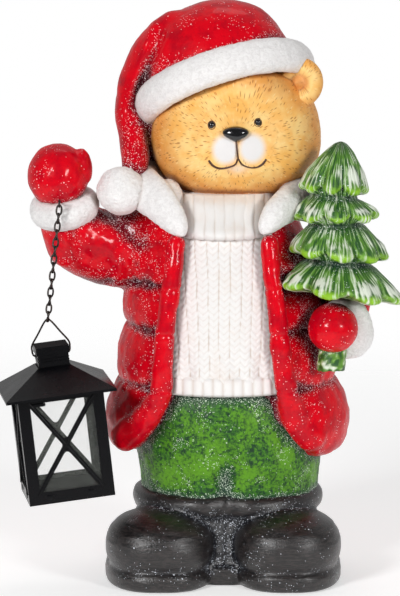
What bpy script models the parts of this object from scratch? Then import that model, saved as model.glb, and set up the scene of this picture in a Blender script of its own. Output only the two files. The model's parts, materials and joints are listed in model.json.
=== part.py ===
"""Christmas bear figurine: one casting, with a sheet-metal lantern hanging on a chain from its raised mitten.

The bear looks along -Y, and +X is on the viewer's right. The figure's own forms are written in millimetres
for a figure 500 mm tall and scaled by its height. The lantern, the chain and the wires have real sizes of
their own, in metres, and hang from the eye in the mitten.
"""
import math

import bmesh
import bpy
import numpy as np
from mathutils import Matrix, Vector

# Figure, metres
FIGURE_HEIGHT = 0.500
FORM_HEIGHT_MM = 500.0
VOXEL = 0.0016
FIGURE_TRIANGLES = 6300
FOOT_SNAP = 0.0009

# Chain and its eye, metres
WIRE_RADIUS = 0.00065
LINK_LENGTH = 0.0099
LINK_WIDTH = 0.0058
LINK_COUNT = 14
LINK_PLAY = 0.00022
CHAIN_LEAN = math.radians(6.2)
EYE_WIRE_RADIUS = 0.00080
EYE_RADIUS = 0.0029
EYE_SHANK = 0.019
SHANK_CLEARANCE = 0.00035

# Lantern, metres
LANTERN_WIDTH = 0.0735
SHEET = 0.0010
POST_WIDTH = 0.0100
TOP_RAIL = 0.0120
BOTTOM_RAIL = 0.0105
BAR_WIDTH = 0.0042
CROSSING_FILLET = 0.0030
FLOOR_LIFT = 0.0060
FRAME_DROP = 0.1215
EAVE_OVERHANG = 0.0105
EAVE_DROP = 0.0280
EAVE_LIP = 0.0022
ROOF_RISE = 0.0195
CHIMNEY_WIDTH = 0.0264
CHIMNEY_ABOVE_PIVOT = 0.0088
CAP_RIM = 0.0010
CAP_RIM_HEIGHT = 0.0066
GLASS = 0.0012
SEAM = 0.0003
LANTERN_YAW = math.radians(8.7)
LANTERN_LEAN = math.radians(6.3)

# Bail, metres
BAIL_WIRE_RADIUS = 0.00080
BAIL_HEIGHT = 0.0305
BAIL_CLEARANCE = 0.00035
BAIL_GRIP = 0.0022
HOOK_PLAY = 0.0006

COLOURS = {
    "bear_figure": ((0.80, 0.10, 0.09), 0.35, 0.0),
    "chain": ((0.10, 0.10, 0.10), 0.40, 0.9),
    "lantern": ((0.02, 0.02, 0.022), 0.40, 0.6),
    "glass": ((0.85, 0.88, 0.86), 0.05, 0.0),
}


# General helpers

def material(name):
    """One Principled material from the table of colours."""
    found = bpy.data.materials.get(name)
    if found:
        return found
    colour, rough, metal = COLOURS[name]
    made = bpy.data.materials.new(name)
    made.use_nodes = True
    shader = made.node_tree.nodes["Principled BSDF"]
    shader.inputs["Base Color"].default_value = (*colour, 1)
    shader.inputs["Roughness"].default_value = rough
    shader.inputs["Metallic"].default_value = metal
    return made


def piece(name, verts, faces, look, smooth=True):
    """A named object made from points and faces."""
    mesh = bpy.data.meshes.new(name)
    mesh.from_pydata([tuple(v) for v in verts], [], faces)
    bm = bmesh.new()
    bm.from_mesh(mesh)
    bmesh.ops.remove_doubles(bm, verts=bm.verts, dist=1e-6)
    bmesh.ops.recalc_face_normals(bm, faces=bm.faces)
    bm.to_mesh(mesh)
    bm.free()
    made = bpy.data.objects.new(name, mesh)
    bpy.context.scene.collection.objects.link(made)
    made.data.materials.append(material(look))
    for face in mesh.polygons:
        face.use_smooth = smooth
    return made


def cut(target, cutter):
    """Cut one closed piece out of another and keep the cutter as a guide."""
    cutter.hide_render = True
    cutter.display_type = "WIRE"
    cutter.hide_set(True)
    boolean = target.modifiers.new(cutter.name, "BOOLEAN")
    boolean.operation = "DIFFERENCE"
    boolean.solver = "EXACT"
    boolean.object = cutter


def curve(keys, count):
    """Smooth curve through rows of numbers, as a Catmull-Rom spline with eased ends."""
    keys = np.array(keys, float)
    padded = np.vstack([2 * keys[0] - keys[1], keys, 2 * keys[-1] - keys[-2]])
    t = np.linspace(0, len(keys) - 1, count)
    i = np.minimum(t.astype(int), len(keys) - 2)
    u = (t - i)[:, None]
    a, b, c, d = (padded[i + k] for k in range(4))
    return 0.5 * (2 * b + (c - a) * u + (2 * a - 5 * b + 4 * c - d) * u**2 + (3 * b - a - 3 * c + d) * u**3)


def skin(rings, closed=False, ends=None):
    """Points and faces over rings of points; ends are the two poles of an open run of rings."""
    rows, sides = rings.shape[:2]
    verts = list(rings.reshape(-1, 3))
    faces = []
    for r in range(rows if closed else rows - 1):
        above, below = r * sides, (r + 1) % rows * sides
        for s in range(sides):
            after = (s + 1) % sides
            faces.append((above + s, above + after, below + after, below + s))
    if not closed:
        for pole, row in zip(ends, (0, rows - 1)):
            verts.append(pole)
            for s in range(sides):
                faces.append((row * sides + s, row * sides + (s + 1) % sides, len(verts) - 1))
    return verts, faces


def unit(vectors):
    return vectors / np.linalg.norm(vectors, axis=-1, keepdims=True)


def sections(path, wide, thick, away, closed, sides):
    """Elliptical sections across a path: thick points away from a place or a line, wide lies across."""
    if closed:
        tangent = unit(np.roll(path, -1, 0) - np.roll(path, 1, 0))
    else:
        tangent = unit(np.gradient(path, axis=0))
    out = path - np.array(away)
    out = unit(out - (out * tangent).sum(1, keepdims=True) * tangent)
    across = np.cross(tangent, out)
    angle = np.linspace(0, 2 * math.pi, sides, endpoint=False)[None, :, None]
    return (path[:, None] + across[:, None] * wide[:, None, None] * np.cos(angle)
            + out[:, None] * thick[:, None, None] * np.sin(angle))


FAR_BEHIND = (3.0, 900.0, 7.0)


def tube(keys, away=FAR_BEHIND, rows=28, sides=20):
    """Round-ended sweep; each key is x, y, z, half width, half thickness."""
    smooth = curve(keys, 400)
    steps = np.linalg.norm(np.diff(smooth[:, :3], axis=0), axis=1)
    length = np.concatenate([[0], np.cumsum(steps)])
    along = length[-1] * (1 - np.cos(np.linspace(0, math.pi, rows + 2))) / 2
    along[0] = along[1] * 0.03
    along[-1] = length[-1] - along[0]
    x, y, z, wide, thick = (np.interp(along, length, smooth[:, k]) for k in range(5))
    near_end = np.minimum(along, length[-1] - along)
    mean = (wide + thick) / 2
    cap = np.sqrt(1 - np.clip(1 - near_end / mean, 0, 1) ** 2)
    path = np.stack([x, y, z], 1)
    rings = sections(path, wide * cap, thick * cap, away, False, sides)
    return skin(rings, False, (smooth[0, :3], smooth[-1, :3]))


def hoop(path, wide, thick, away, sides=16):
    """Closed sweep around a ring of points."""
    rings = sections(path, np.full(len(path), wide), np.full(len(path), thick), away, True, sides)
    return skin(rings, True)


def ball(at, size, turn=(0, 0, 0), power=2.0, relief=None, rows=24, sides=32):
    """Super-ellipsoid; relief gives extra distance for unit directions."""
    lat = np.linspace(0, math.pi, rows + 2)[1:-1][:, None]
    lon = np.linspace(0, 2 * math.pi, sides, endpoint=False)[None]
    way = np.stack([np.sin(lat) * np.cos(lon), np.sin(lat) * np.sin(lon), np.cos(lat) + 0 * lon], -1)
    poles = np.array([[0, 0, 1.0], [0, 0, -1.0]])

    def place(w):
        grown = w / (np.abs(w) ** power).sum(-1, keepdims=True) ** (1 / power)
        points = grown * np.array(size)
        if relief is not None:
            points = points + w * relief(w)[..., None]
        spin = np.array(Matrix.Rotation(math.radians(turn[2]), 3, "Z")
                        @ Matrix.Rotation(math.radians(turn[1]), 3, "Y")
                        @ Matrix.Rotation(math.radians(turn[0]), 3, "X"))
        return points @ spin.T + np.array(at)

    return skin(place(way), False, place(poles))


def stack(keys, relief=None, power=2.2, rows=40, sides=72):
    """Level rings; each key is z, centre x, centre y, half width, half depth."""
    z, cx, cy, wide, deep = curve(keys, rows).T[..., None]
    angle = np.linspace(0, 2 * math.pi, sides, endpoint=False)[None]
    c, s = np.cos(angle), np.sin(angle)
    grow = (np.abs(c) ** power + np.abs(s) ** power) ** (-1 / power)
    extra = relief(angle, z, cx + wide * grow * c, cy + deep * grow * s) if relief else 0.0
    x = cx + (wide + extra) * grow * c
    y = cy + (deep + extra) * grow * s
    rings = np.stack([x, y, z + 0 * x], -1)
    return skin(rings, False, (rings[0].mean(0), rings[-1].mean(0)))


def bump(value, centre, spread):
    """Smooth bell from 1 to 0."""
    return np.exp(-((value - centre) / spread) ** 2)


def step(value, low, high):
    """Smooth rise from 0 at low to 1 at high."""
    t = np.clip((value - low) / (high - low), 0, 1)
    return t * t * (3 - 2 * t)


# Forms of the figure, millimetres

HEAD_AT = (10, 0, 381)
HEAD_SIZE = (74, 63, 60)
CROWN_LIFT = 8
BAND_AT = (0.5, 0, 426.5)
BAND_REACH = (69.5, 57.5)
BAND_TURN = (-23, -17.3, 0)
BAND_PITCH, BAND_ROLL = -math.radians(BAND_TURN[0]), -math.radians(BAND_TURN[1])
BAND_SECTION = (15.3, 11)
CAP_AT = (-4, 6, 441)
CROWN_TUCK = 26
TAIL = ((-30, 0, 486, 10, 12), (-43, -4, 480, 13, 18), (-55.5, -4, 469, 14, 22), (-65, -2, 457, 14.5, 23),
        (-73, 2, 440, 15, 22), (-79, 5, 419, 15, 20), (-81, 2, 402, 14.5, 18), (-78.5, -12, 382, 13, 16),
        (-76.5, -28, 362.5, 12, 14), (-82, -40, 347, 9, 9))
POMPOM_AT = (-88.6, -45, 340.5)
POMPOM_RADIUS = 20.5
MITTEN_AT = (-142.7, -40, 353)
EYE_AT = (-140.5, -72, 332.5)
SLEEVE_FOLDS = (
    (-138, -34, 300, 24, 16, 9, 40), (-124, -30, 288, 26, 16, 9, 55), (-108, -26, 283, 23, 16, 10, 75),
    (-92, -24, 277, 24, 17, 10, 95), (-144, -37, 305, 15, 15, 8, 60), (-132, -37, 295, 18, 16, 9, 40),
    (-114, -31, 290, 20, 17, 9, 50), (-97, -27, 294, 22, 18, 9, 75), (-78, -22, 292, 22, 20, 10, 90),
    (-58, -24, 292, 22, 20, 10, 95))
PLACKET = ((306, 8), (276, 8), (235, 8.5), (193, 9), (168, 10), (146, 12), (129, 13.5), (118, 11))
TREE_AT = (99, -56)
TREE_TOP = 384
TREE_TIERS = ((350, 0, 29.5, -6, 4, -5), (326, 21, 37, -4, -1, 1), (294, 24, 42.5, -1, 5, 0),
              (262, 28, 55, 0, 8.5, -16))
TREE_LOBES = 8
LOBE_DEPTH = 0.19
TIER_BLUNT = (0.72, 0.25)
LOBE_DROP = 5.0
TIER_LIP = 3.2
TIER_GAP = 11
STUB_NECK = 14
TRUNK = ((188.5, 91, -66, 10, 10), (190, 91, -66, 12, 12), (200, 92, -66, 12, 12), (240, 95, -58, 10, 10))
SEAMS = (108, 172, 221, 260, 296)
PADDING = 7.5
OPENING_DEPTH = 16


def head_depth(x, z):
    """Depth of the face under a place seen from the front."""
    dx = (x - HEAD_AT[0]) / HEAD_SIZE[0]
    dz = (z - HEAD_AT[2]) / (HEAD_SIZE[2] + (CROWN_LIFT if z > HEAD_AT[2] else -CROWN_LIFT))
    return -HEAD_SIZE[1] * max(0.0, 1 - abs(dx) ** 2.2 - abs(dz) ** 2.2) ** (1 / 2.2)


def head():
    """Wide bear head with a low muzzle, nose, eyes, cheeks and the one ear that shows."""
    def fullness(w):
        return CROWN_LIFT * np.sign(w[..., 2]) * w[..., 2] ** 2

    def dish(w):
        front = step(-w[..., 1], 0.40, 0.75)
        rim = np.hypot(w[..., 0] + 0.05, w[..., 2] - 0.02)
        return -6.0 * front * (1 - step(rim, 0.40, 0.66)) + 3.6 * front * bump(rim, 0.0, 0.24)

    forms = [
        ball(HEAD_AT, HEAD_SIZE, power=2.2, relief=fullness, rows=40, sides=56),
        ball((22, -12, 424), (46, 42, 27)),
        ball((10, -52, 374), (35, 16, 24)),
        ball((-30, -38, 364), (27, 18, 22)),
        ball((50, -38, 364), (27, 18, 22)),
        ball((64.5, -22, 431), (20.5, 11, 22), turn=(0, 20, -12), relief=dish),
        ball((9.3, -69, 391.5), (10.5, 8, 6.2), turn=(10, 0, 0)),
    ]
    for x, z in ((-11, 398.4), (28.3, 400.6)):
        forms.append(ball((x, head_depth(x, z) - 0.6, z), (3.4, 2.6, 3.7), rows=8, sides=12))
    return forms


def band_path(angle):
    """Points on the tilted ring of the hat's band."""
    side = np.array([math.cos(BAND_ROLL), 0, math.sin(BAND_ROLL)])
    rise = np.array([-math.sin(BAND_ROLL), 0, math.cos(BAND_ROLL)])
    front = math.cos(BAND_PITCH) * np.array([0, -1, 0]) + math.sin(BAND_PITCH) * rise
    c, s = np.cos(angle)[:, None], np.sin(angle)[:, None]
    return np.array(BAND_AT) + BAND_REACH[0] * c * side + BAND_REACH[1] * s * front


def hat():
    """Soft crown, the folded tail over the side, the plush band and the pompom."""
    def tuck_under(w):
        return -CROWN_TUCK * step(-w[..., 2], 0.33, 0.60)

    angle = np.linspace(0, 2 * math.pi, 48, endpoint=False)
    return [
        ball((-8, 6, 445), (65, 60, 54), turn=BAND_TURN, power=2.1, relief=tuck_under, rows=36, sides=48),
        ball(CAP_AT, (66, 54, 22), turn=BAND_TURN),
        tube(TAIL, away=(0, 900, 430)),
        ball((-62, 8, 388), (12, 20, 34)),
        hoop(band_path(angle), *BAND_SECTION, BAND_AT),
        ball(POMPOM_AT, (POMPOM_RADIUS,) * 3),
    ]


def quilt(z):
    """Height of the padding between the seams, 0 in a seam and 1 on a roll."""
    full = np.zeros_like(z)
    for low, high in zip(SEAMS[:-1], SEAMS[1:]):
        inside = (z > low) & (z < high)
        full = np.where(inside, np.sqrt(np.abs(np.sin(math.pi * (z - low) / (high - low)))), full)
    return full


def front_edges(z):
    """Left and right edge of the jacket's opening at each height."""
    heights = (108, 127, 146, 168, 193, 235, 277, 305, 330)
    left = (-92, -72, -56, -46, -44, -41, -36, -34, -30)
    right = (78, 63, 49, 45, 41, 37, 32, 30, 28)
    return np.interp(z, heights, left), np.interp(z, heights, right)


def sweater_front(z):
    """Half depth of the sweater."""
    return np.interp(z, (150, 170, 200, 240, 280, 310), (74, 80, 82, 80, 75, 68))


def torso():
    """Sweater, its hem and roll neck under the open quilted jacket."""
    def padding(angle, z, x, y):
        low, high = front_edges(z)
        opening = step(x, low - 5, low + 1) * step(-x, -high - 5, -high + 1) * (y < 0)
        return PADDING * quilt(z) - OPENING_DEPTH * opening

    jacket = [(106, 3, 2, 90, 70), (112, 3, 2, 97, 78), (125, 3, 2, 99, 81), (145, 3, 2, 99, 82),
              (165, 3, 2, 95, 83), (185, 2, 2, 89, 84), (215, 1, 2, 84, 83), (250, 0, 2, 80, 79),
              (285, -1, 3, 76, 72), (312, -1, 4, 64, 62), (330, 0, 4, 44, 46)]
    sweater = [(166, 0, 0, 74, 78), (169, 0, 0, 78, 84), (180, 0, 0, 79, 85), (184, 0, 0, 78, 82.5),
               (210, 0, 0, 77, 82), (250, 0, 0, 74, 79), (290, 0, 0, 68, 72), (320, 0, 0, 50, 58)]
    neck = [(300, -1, -2, 44, 66), (302.5, -1, -2, 50, 74), (308, -1, -2, 51, 75), (318, -1, -2, 50, 68),
            (330, -1, -2, 50, 60), (337, -1, -1, 47, 51)]
    forms = [stack(jacket, padding, rows=90, sides=120), stack(sweater), stack(neck)]
    for side, edge in ((-1, 0), (1, 1)):
        keys = []
        for z, radius in PLACKET:
            x = front_edges(np.array(float(z)))[edge] + side * (radius - 0.5)
            y = -(sweater_front(z) + 3.5) * (1 - abs(x / 100) ** 2.4) ** (1 / 2.2) - 1.5
            keys.append((x, y, z, radius, 8.5))
        forms.append(tube(keys, rows=50))
    return forms


def collar():
    """Plush collar: two lapels joined round the back of the neck."""
    keys = [(-34, -74, 305, 4.5, 4.5), (-38.5, -73, 311.5, 9, 7), (-45, -69, 320, 13, 9),
            (-56, -58, 332, 16.5, 10.5), (-66, -42, 339, 18, 12), (-71, -15, 344, 17, 13),
            (-58, 14, 350, 15, 12), (-32, 36, 352, 14, 12), (0, 45, 352, 14, 12), (32, 36, 352, 14, 12),
            (57, 8, 348, 14, 12), (65, -18, 340, 14, 12), (57, -44, 331, 15, 11), (45.5, -63, 324, 13, 9.5),
            (37, -71, 315, 9.5, 7.5), (31, -74.5, 307, 4.5, 4.5)]
    return [tube(keys, away=(0, 0, 300), rows=60)]


def raised_arm():
    """Gathered sleeve, plush cuff and the mitten that holds the chain."""
    keys = [(-137, -32, 332, 23, 20), (-134, -28, 316, 29, 26), (-126, -24, 300, 31, 29),
            (-107, -16, 290, 33, 31), (-80, -8, 287, 38, 35), (-45, 0, 282, 38, 38)]
    forms = [tube(keys, rows=40)]
    for *at, length, deep, thick, lean in SLEEVE_FOLDS:
        forms.append(ball(at, (length, deep, thick), turn=(0, lean, 0), rows=14, sides=20))
    angle = np.linspace(0, 2 * math.pi, 32, endpoint=False)
    c, s = np.cos(angle)[:, None], np.sin(angle)[:, None]
    middle = np.array((-137.5, -35, 325))
    ring = middle + 18.5 * c * np.array((0.99, 0, 0.14)) - 18.5 * s * np.array((0, 0.95, 0.31))
    forms.append(hoop(ring, 12.5, 11.5, middle))
    forms.append(ball(MITTEN_AT, (26, 27, 27.5), power=2.1))
    forms.append(ball((-122, -42, 361), (9.0, 11, 16), turn=(0, -8, 0)))
    return forms


def tree_arm():
    """Bent sleeve behind the tree, with the cuff and the mitten round the trunk."""
    keys = [(58, 4, 286, 34, 34), (92, 2, 268, 28, 28), (106, -8, 246, 22, 24), (104, -34, 224, 19, 19)]
    return [
        tube(keys),
        ball((105, -50, 222), (22.5, 15, 26.5), turn=(0, -15, 0), power=2.3),
        ball((92.5, -72, 226), (21.6, 24, 21.5)),
        ball((84, -84, 222), (8, 8, 10), turn=(0, 20, 0)),
        stack(TRUNK, rows=16, sides=16),
    ]


def tree():
    """Four drooping tiers with round lobes, each tucked under the one above and tipped a little."""
    rings = []
    angle = np.linspace(0, 2 * math.pi, 96, endpoint=False)
    top, shift, before = TREE_TOP, 0, 0

    def ring(radius, z, offset, slope):
        x = radius * np.cos(angle)
        rings.append(np.stack([offset + x, radius * np.sin(angle), z - slope * x], 1))

    for number, (rim_z, neck, rim, lean, tip, turn) in enumerate(TREE_TIERS):
        lobe = np.abs(np.cos(TREE_LOBES / 2 * (angle + math.pi / 2 - math.radians(turn))))
        tilt = math.tan(math.radians(tip))
        blunt = TIER_BLUNT[min(number, 1)]
        for s in np.linspace(0.0 if number else 0.02, 1, 12):
            flare = blunt * math.sqrt(s) + (1 - blunt) * s**1.2
            radius = (neck + (rim - neck) * flare) * (1 - LOBE_DEPTH * s**1.5 * (1 - lobe))
            z = top + (rim_z - top) * s - LOBE_DROP * s**3 * lobe
            ring(radius, z, shift + (lean - shift) * s, before + (tilt - before) * s)
        lip = rim * (1 - LOBE_DEPTH * (1 - lobe)) - TIER_LIP
        ring(lip, rim_z - LOBE_DROP * lobe - TIER_LIP, lean, tilt)
        tuck = rim_z - TIER_GAP
        inner = STUB_NECK if number + 1 == len(TREE_TIERS) else TREE_TIERS[number + 1][1] - 1
        ring(np.full(len(angle), inner), tuck, lean, tilt)
        top, shift, before = tuck - 3, lean, tilt
    rings = np.array(rings) + np.array((*TREE_AT, 0))
    return [skin(rings, False, (rings[0].mean(0), rings[-1].mean(0)))]


def legs():
    """Trousers with a centre crease, rolled boot tops, round toes and joined soles."""
    def crease(angle, z, x, y):
        return -8 * bump(x, 1, 13) * step(-z, -145, -90)

    trousers = [(56, 5, 0, 70, 62), (64, 5, 0, 74, 66), (72, 5.5, 0, 77, 69), (90, 5, 0, 79, 71),
                (108, 4.5, 0, 81, 74), (130, 3, 0, 80, 77), (160, 0, 0, 72, 76), (176, 0, 0, 60, 66)]
    roll = [(56, 3.5, 0, 74, 63), (59, 3.5, 0, 81, 70), (65, 3.5, 0, 83.5, 74), (72, 3.5, 0, 82.5, 73.5),
            (77, 3.5, 0, 77, 69)]
    shaft = [(6, 0, -6, 78, 64), (20, 0, -6, 80, 66), (40, 2, -4, 80, 65), (60, 3, 0, 78, 66)]
    forms = [stack(trousers, crease), stack(roll, crease, rows=20), stack(shaft, crease, rows=16)]
    for x, wide in ((-55.5, 47.5), (54.5, 47)):
        forms.append(ball((x, -54, 34), (wide, 50, 31), power=2.3, rows=30, sides=40))
        forms.append(ball((x * 0.82, 28, 32), (36, 34, 30), power=2.4))
        edge = wide + 0.5
        sole = [(0, x, -26, edge - 4, 73), (0.4, x, -26, edge - 2, 75), (4, x, -26, edge, 77),
                (12.5, x, -26, edge, 77), (15.5, x, -26, edge - 2.5, 74.5)]
        forms.append(stack(sole, power=2.6, rows=20))
    forms.append(stack([(0, 0, -8, 22, 62), (0.4, 0, -8, 24, 64), (14, 0, -8, 24, 64), (16, 0, -8, 22, 62)],
                       power=3.0, rows=12, sides=40))
    return forms


def merge(forms):
    """Join closed forms into one run of points and faces."""
    verts, faces = [], []
    for points, sides in forms:
        start = len(verts)
        verts.extend(points)
        faces.extend(tuple(v + start for v in side) for side in sides)
    return np.array(verts), faces


def evaluated(target):
    """The mesh of an object with its modifiers."""
    return bpy.data.meshes.new_from_object(target.evaluated_get(bpy.context.evaluated_depsgraph_get()))


def flatten_foot(mesh, reach):
    """Lay the points near the ground on it exactly."""
    for vert in mesh.vertices:
        if vert.co.z < reach:
            vert.co.z = 0.0


def figure():
    """Fuse the forms into one casting and thin it to a light closed mesh."""
    forms = head() + hat() + torso() + collar() + raised_arm() + tree_arm() + tree() + legs()
    verts, faces = merge(forms)
    made = piece("bear_figure", verts * FIGURE_HEIGHT / FORM_HEIGHT_MM, faces, "bear_figure")
    remesh = made.modifiers.new("fuse", "REMESH")
    remesh.mode = "VOXEL"
    remesh.voxel_size = VOXEL
    made.data = evaluated(made)
    made.modifiers.clear()
    flatten_foot(made.data, FOOT_SNAP)
    thin = made.modifiers.new("thin", "DECIMATE")
    thin.ratio = FIGURE_TRIANGLES / sum(len(face.vertices) - 2 for face in made.data.polygons)
    made.data = evaluated(made)
    made.modifiers.clear()
    flatten_foot(made.data, FOOT_SNAP)
    made.data.materials.clear()
    made.data.materials.append(material("bear_figure"))
    return made


# Chain

def ring_path(half_length, half_width, count):
    """Closed outline of a link in its own plane: two half circles and two straights."""
    straight = half_length - half_width
    points = []
    for end, sign in ((0, 1), (math.pi, -1)):
        for k in range(count // 2):
            angle = end + math.pi * k / (count // 2 - 1)
            points.append((half_width * math.cos(angle), 0, half_width * math.sin(angle) + sign * straight))
    return np.array(points)


def chain(eye_centre):
    """Links in a row under the eye, each turned a quarter from the last; gives the last link's low point."""
    down = np.array([-math.sin(CHAIN_LEAN), 0, -math.cos(CHAIN_LEAN)])
    across = np.array([math.cos(CHAIN_LEAN), 0, -math.sin(CHAIN_LEAN)])
    half = LINK_LENGTH / 2 - WIRE_RADIUS
    path = ring_path(half, LINK_WIDTH / 2 - WIRE_RADIUS, 10)
    hold = EYE_WIRE_RADIUS + WIRE_RADIUS + LINK_PLAY
    top = eye_centre + np.array([0, 0, -EYE_RADIUS]) - down * hold
    for number in range(LINK_COUNT):
        middle = top + down * half
        side = across if number % 2 == 0 else np.array([0, 1.0, 0])
        points = middle + path[:, :1] * side - path[:, 2:] * down
        verts, faces = hoop(points, WIRE_RADIUS, WIRE_RADIUS, middle, sides=4)
        piece(f"chain_link_{number + 1:02d}", verts, faces, "chain")
        low = middle + down * half
        top = low - down * (2 * WIRE_RADIUS + LINK_PLAY)
    return low


def hand_eye(target):
    """Wire eye whose shank goes into a hole in the mitten; gives the centre of its loop."""
    centre = np.array(EYE_AT) * FIGURE_HEIGHT / FORM_HEIGHT_MM
    lengths = (EYE_SHANK, EYE_SHANK / 2, 3 * EYE_WIRE_RADIUS)
    route = [(EYE_RADIUS + length, 0) for length in lengths]
    for degrees in range(25, 306, 28):
        angle = math.radians(degrees)
        route.append((EYE_RADIUS * math.cos(angle), EYE_RADIUS * math.sin(angle)))
    keys = [(centre[0], centre[1] + y, centre[2] + z, EYE_WIRE_RADIUS, EYE_WIRE_RADIUS) for y, z in route]
    verts, faces = tube(keys, away=(9.0, 0.0, 0.0), rows=30, sides=6)
    piece("hand_eye", verts, faces, "chain")
    hole = [(centre[0], centre[1] + EYE_RADIUS + y, centre[2]) for y in (0.004, EYE_SHANK + SHANK_CLEARANCE)]
    verts, faces = rod(hole, EYE_WIRE_RADIUS + SHANK_CLEARANCE, 12)
    cut(target, piece("eye_hole", verts, faces, "chain"))
    return centre


# Lantern, in its own frame: the origin on the bail's pivot, Z up the chimney, -Y its front

def rod(ends, radius, sides):
    """Straight flat-ended cylinder between two points."""
    a, b = (np.array(end, float) for end in ends)
    way = unit(b - a)
    first = unit(np.cross(way, (0.3, 0.2, 1.0)))
    second = np.cross(way, first)
    angle = np.linspace(0, 2 * math.pi, sides, endpoint=False)[:, None]
    circle = radius * (np.cos(angle) * first + np.sin(angle) * second)
    return skin(np.array([a + circle, b + circle]), False, (a, b))


def square_lathe(name, profile, look):
    """Square shell from a closed profile of half width and height, turned round four corners."""
    verts, faces = [], []
    for half, z in profile:
        verts += [(sx * half, sy * half, z) for sx, sy in ((-1, -1), (1, -1), (1, 1), (-1, 1))]
    count = len(profile)
    for row in range(count):
        if profile[row][0] == 0 and profile[(row + 1) % count][0] == 0:
            continue
        here, after = row * 4, (row + 1) % count * 4
        faces += [(here + k, here + (k + 1) % 4, after + (k + 1) % 4, after + k) for k in range(4)]
    return piece(name, verts, faces, look, smooth=False)


def rounded(points, index, radius, steps):
    """Outline with one corner swapped for an arc."""
    corner = Vector(points[index])
    back = (Vector(points[index - 1]) - corner).normalized()
    ahead = (Vector(points[(index + 1) % len(points)]) - corner).normalized()
    half = back.angle(ahead) / 2
    centre = corner + (back + ahead).normalized() * radius / math.sin(half)
    start = (corner + back * radius / math.tan(half)) - centre
    sweep = math.pi - 2 * half
    turn = sweep if back.cross(ahead) < 0 else -sweep
    arc = [centre + Matrix.Rotation(turn * k / steps, 2) @ start for k in range(steps + 1)]
    return [*points[:index], *(tuple(p) for p in arc), *points[index + 1:]]


def windows(half, low, high):
    """Outlines of the four openings round an X, its crossing filleted."""
    a, h, middle = half - POST_WIDTH, (high - low) / 2, (high + low) / 2
    slope = math.atan2(h, a)
    up, side = BAR_WIDTH / 2 / math.cos(slope), BAR_WIDTH / 2 / math.sin(slope)
    shapes = []
    for sign in (1, -1):
        shapes.append([(0, sign * up), (sign * (a - side), sign * h), (-sign * (a - side), sign * h)])
        shapes.append([(sign * side, 0), (sign * a, -sign * (h - up)), (sign * a, sign * (h - up))])
    return [[(x, z + middle) for x, z in rounded(shape, 0, CROSSING_FILLET, 3)] for shape in shapes]


def prism(name, outline, reach, turned):
    """Cutter along Y, or along X when turned, through both walls."""
    ends = []
    for y in (-reach, reach):
        ends.append([(-y, x, z) if turned else (x, y, z) for x, z in outline])
    rings = np.array(ends)
    verts, faces = skin(rings, False, (rings[0].mean(0), rings[1].mean(0)))
    return piece(name, verts, faces, "lantern", smooth=False)


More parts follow.
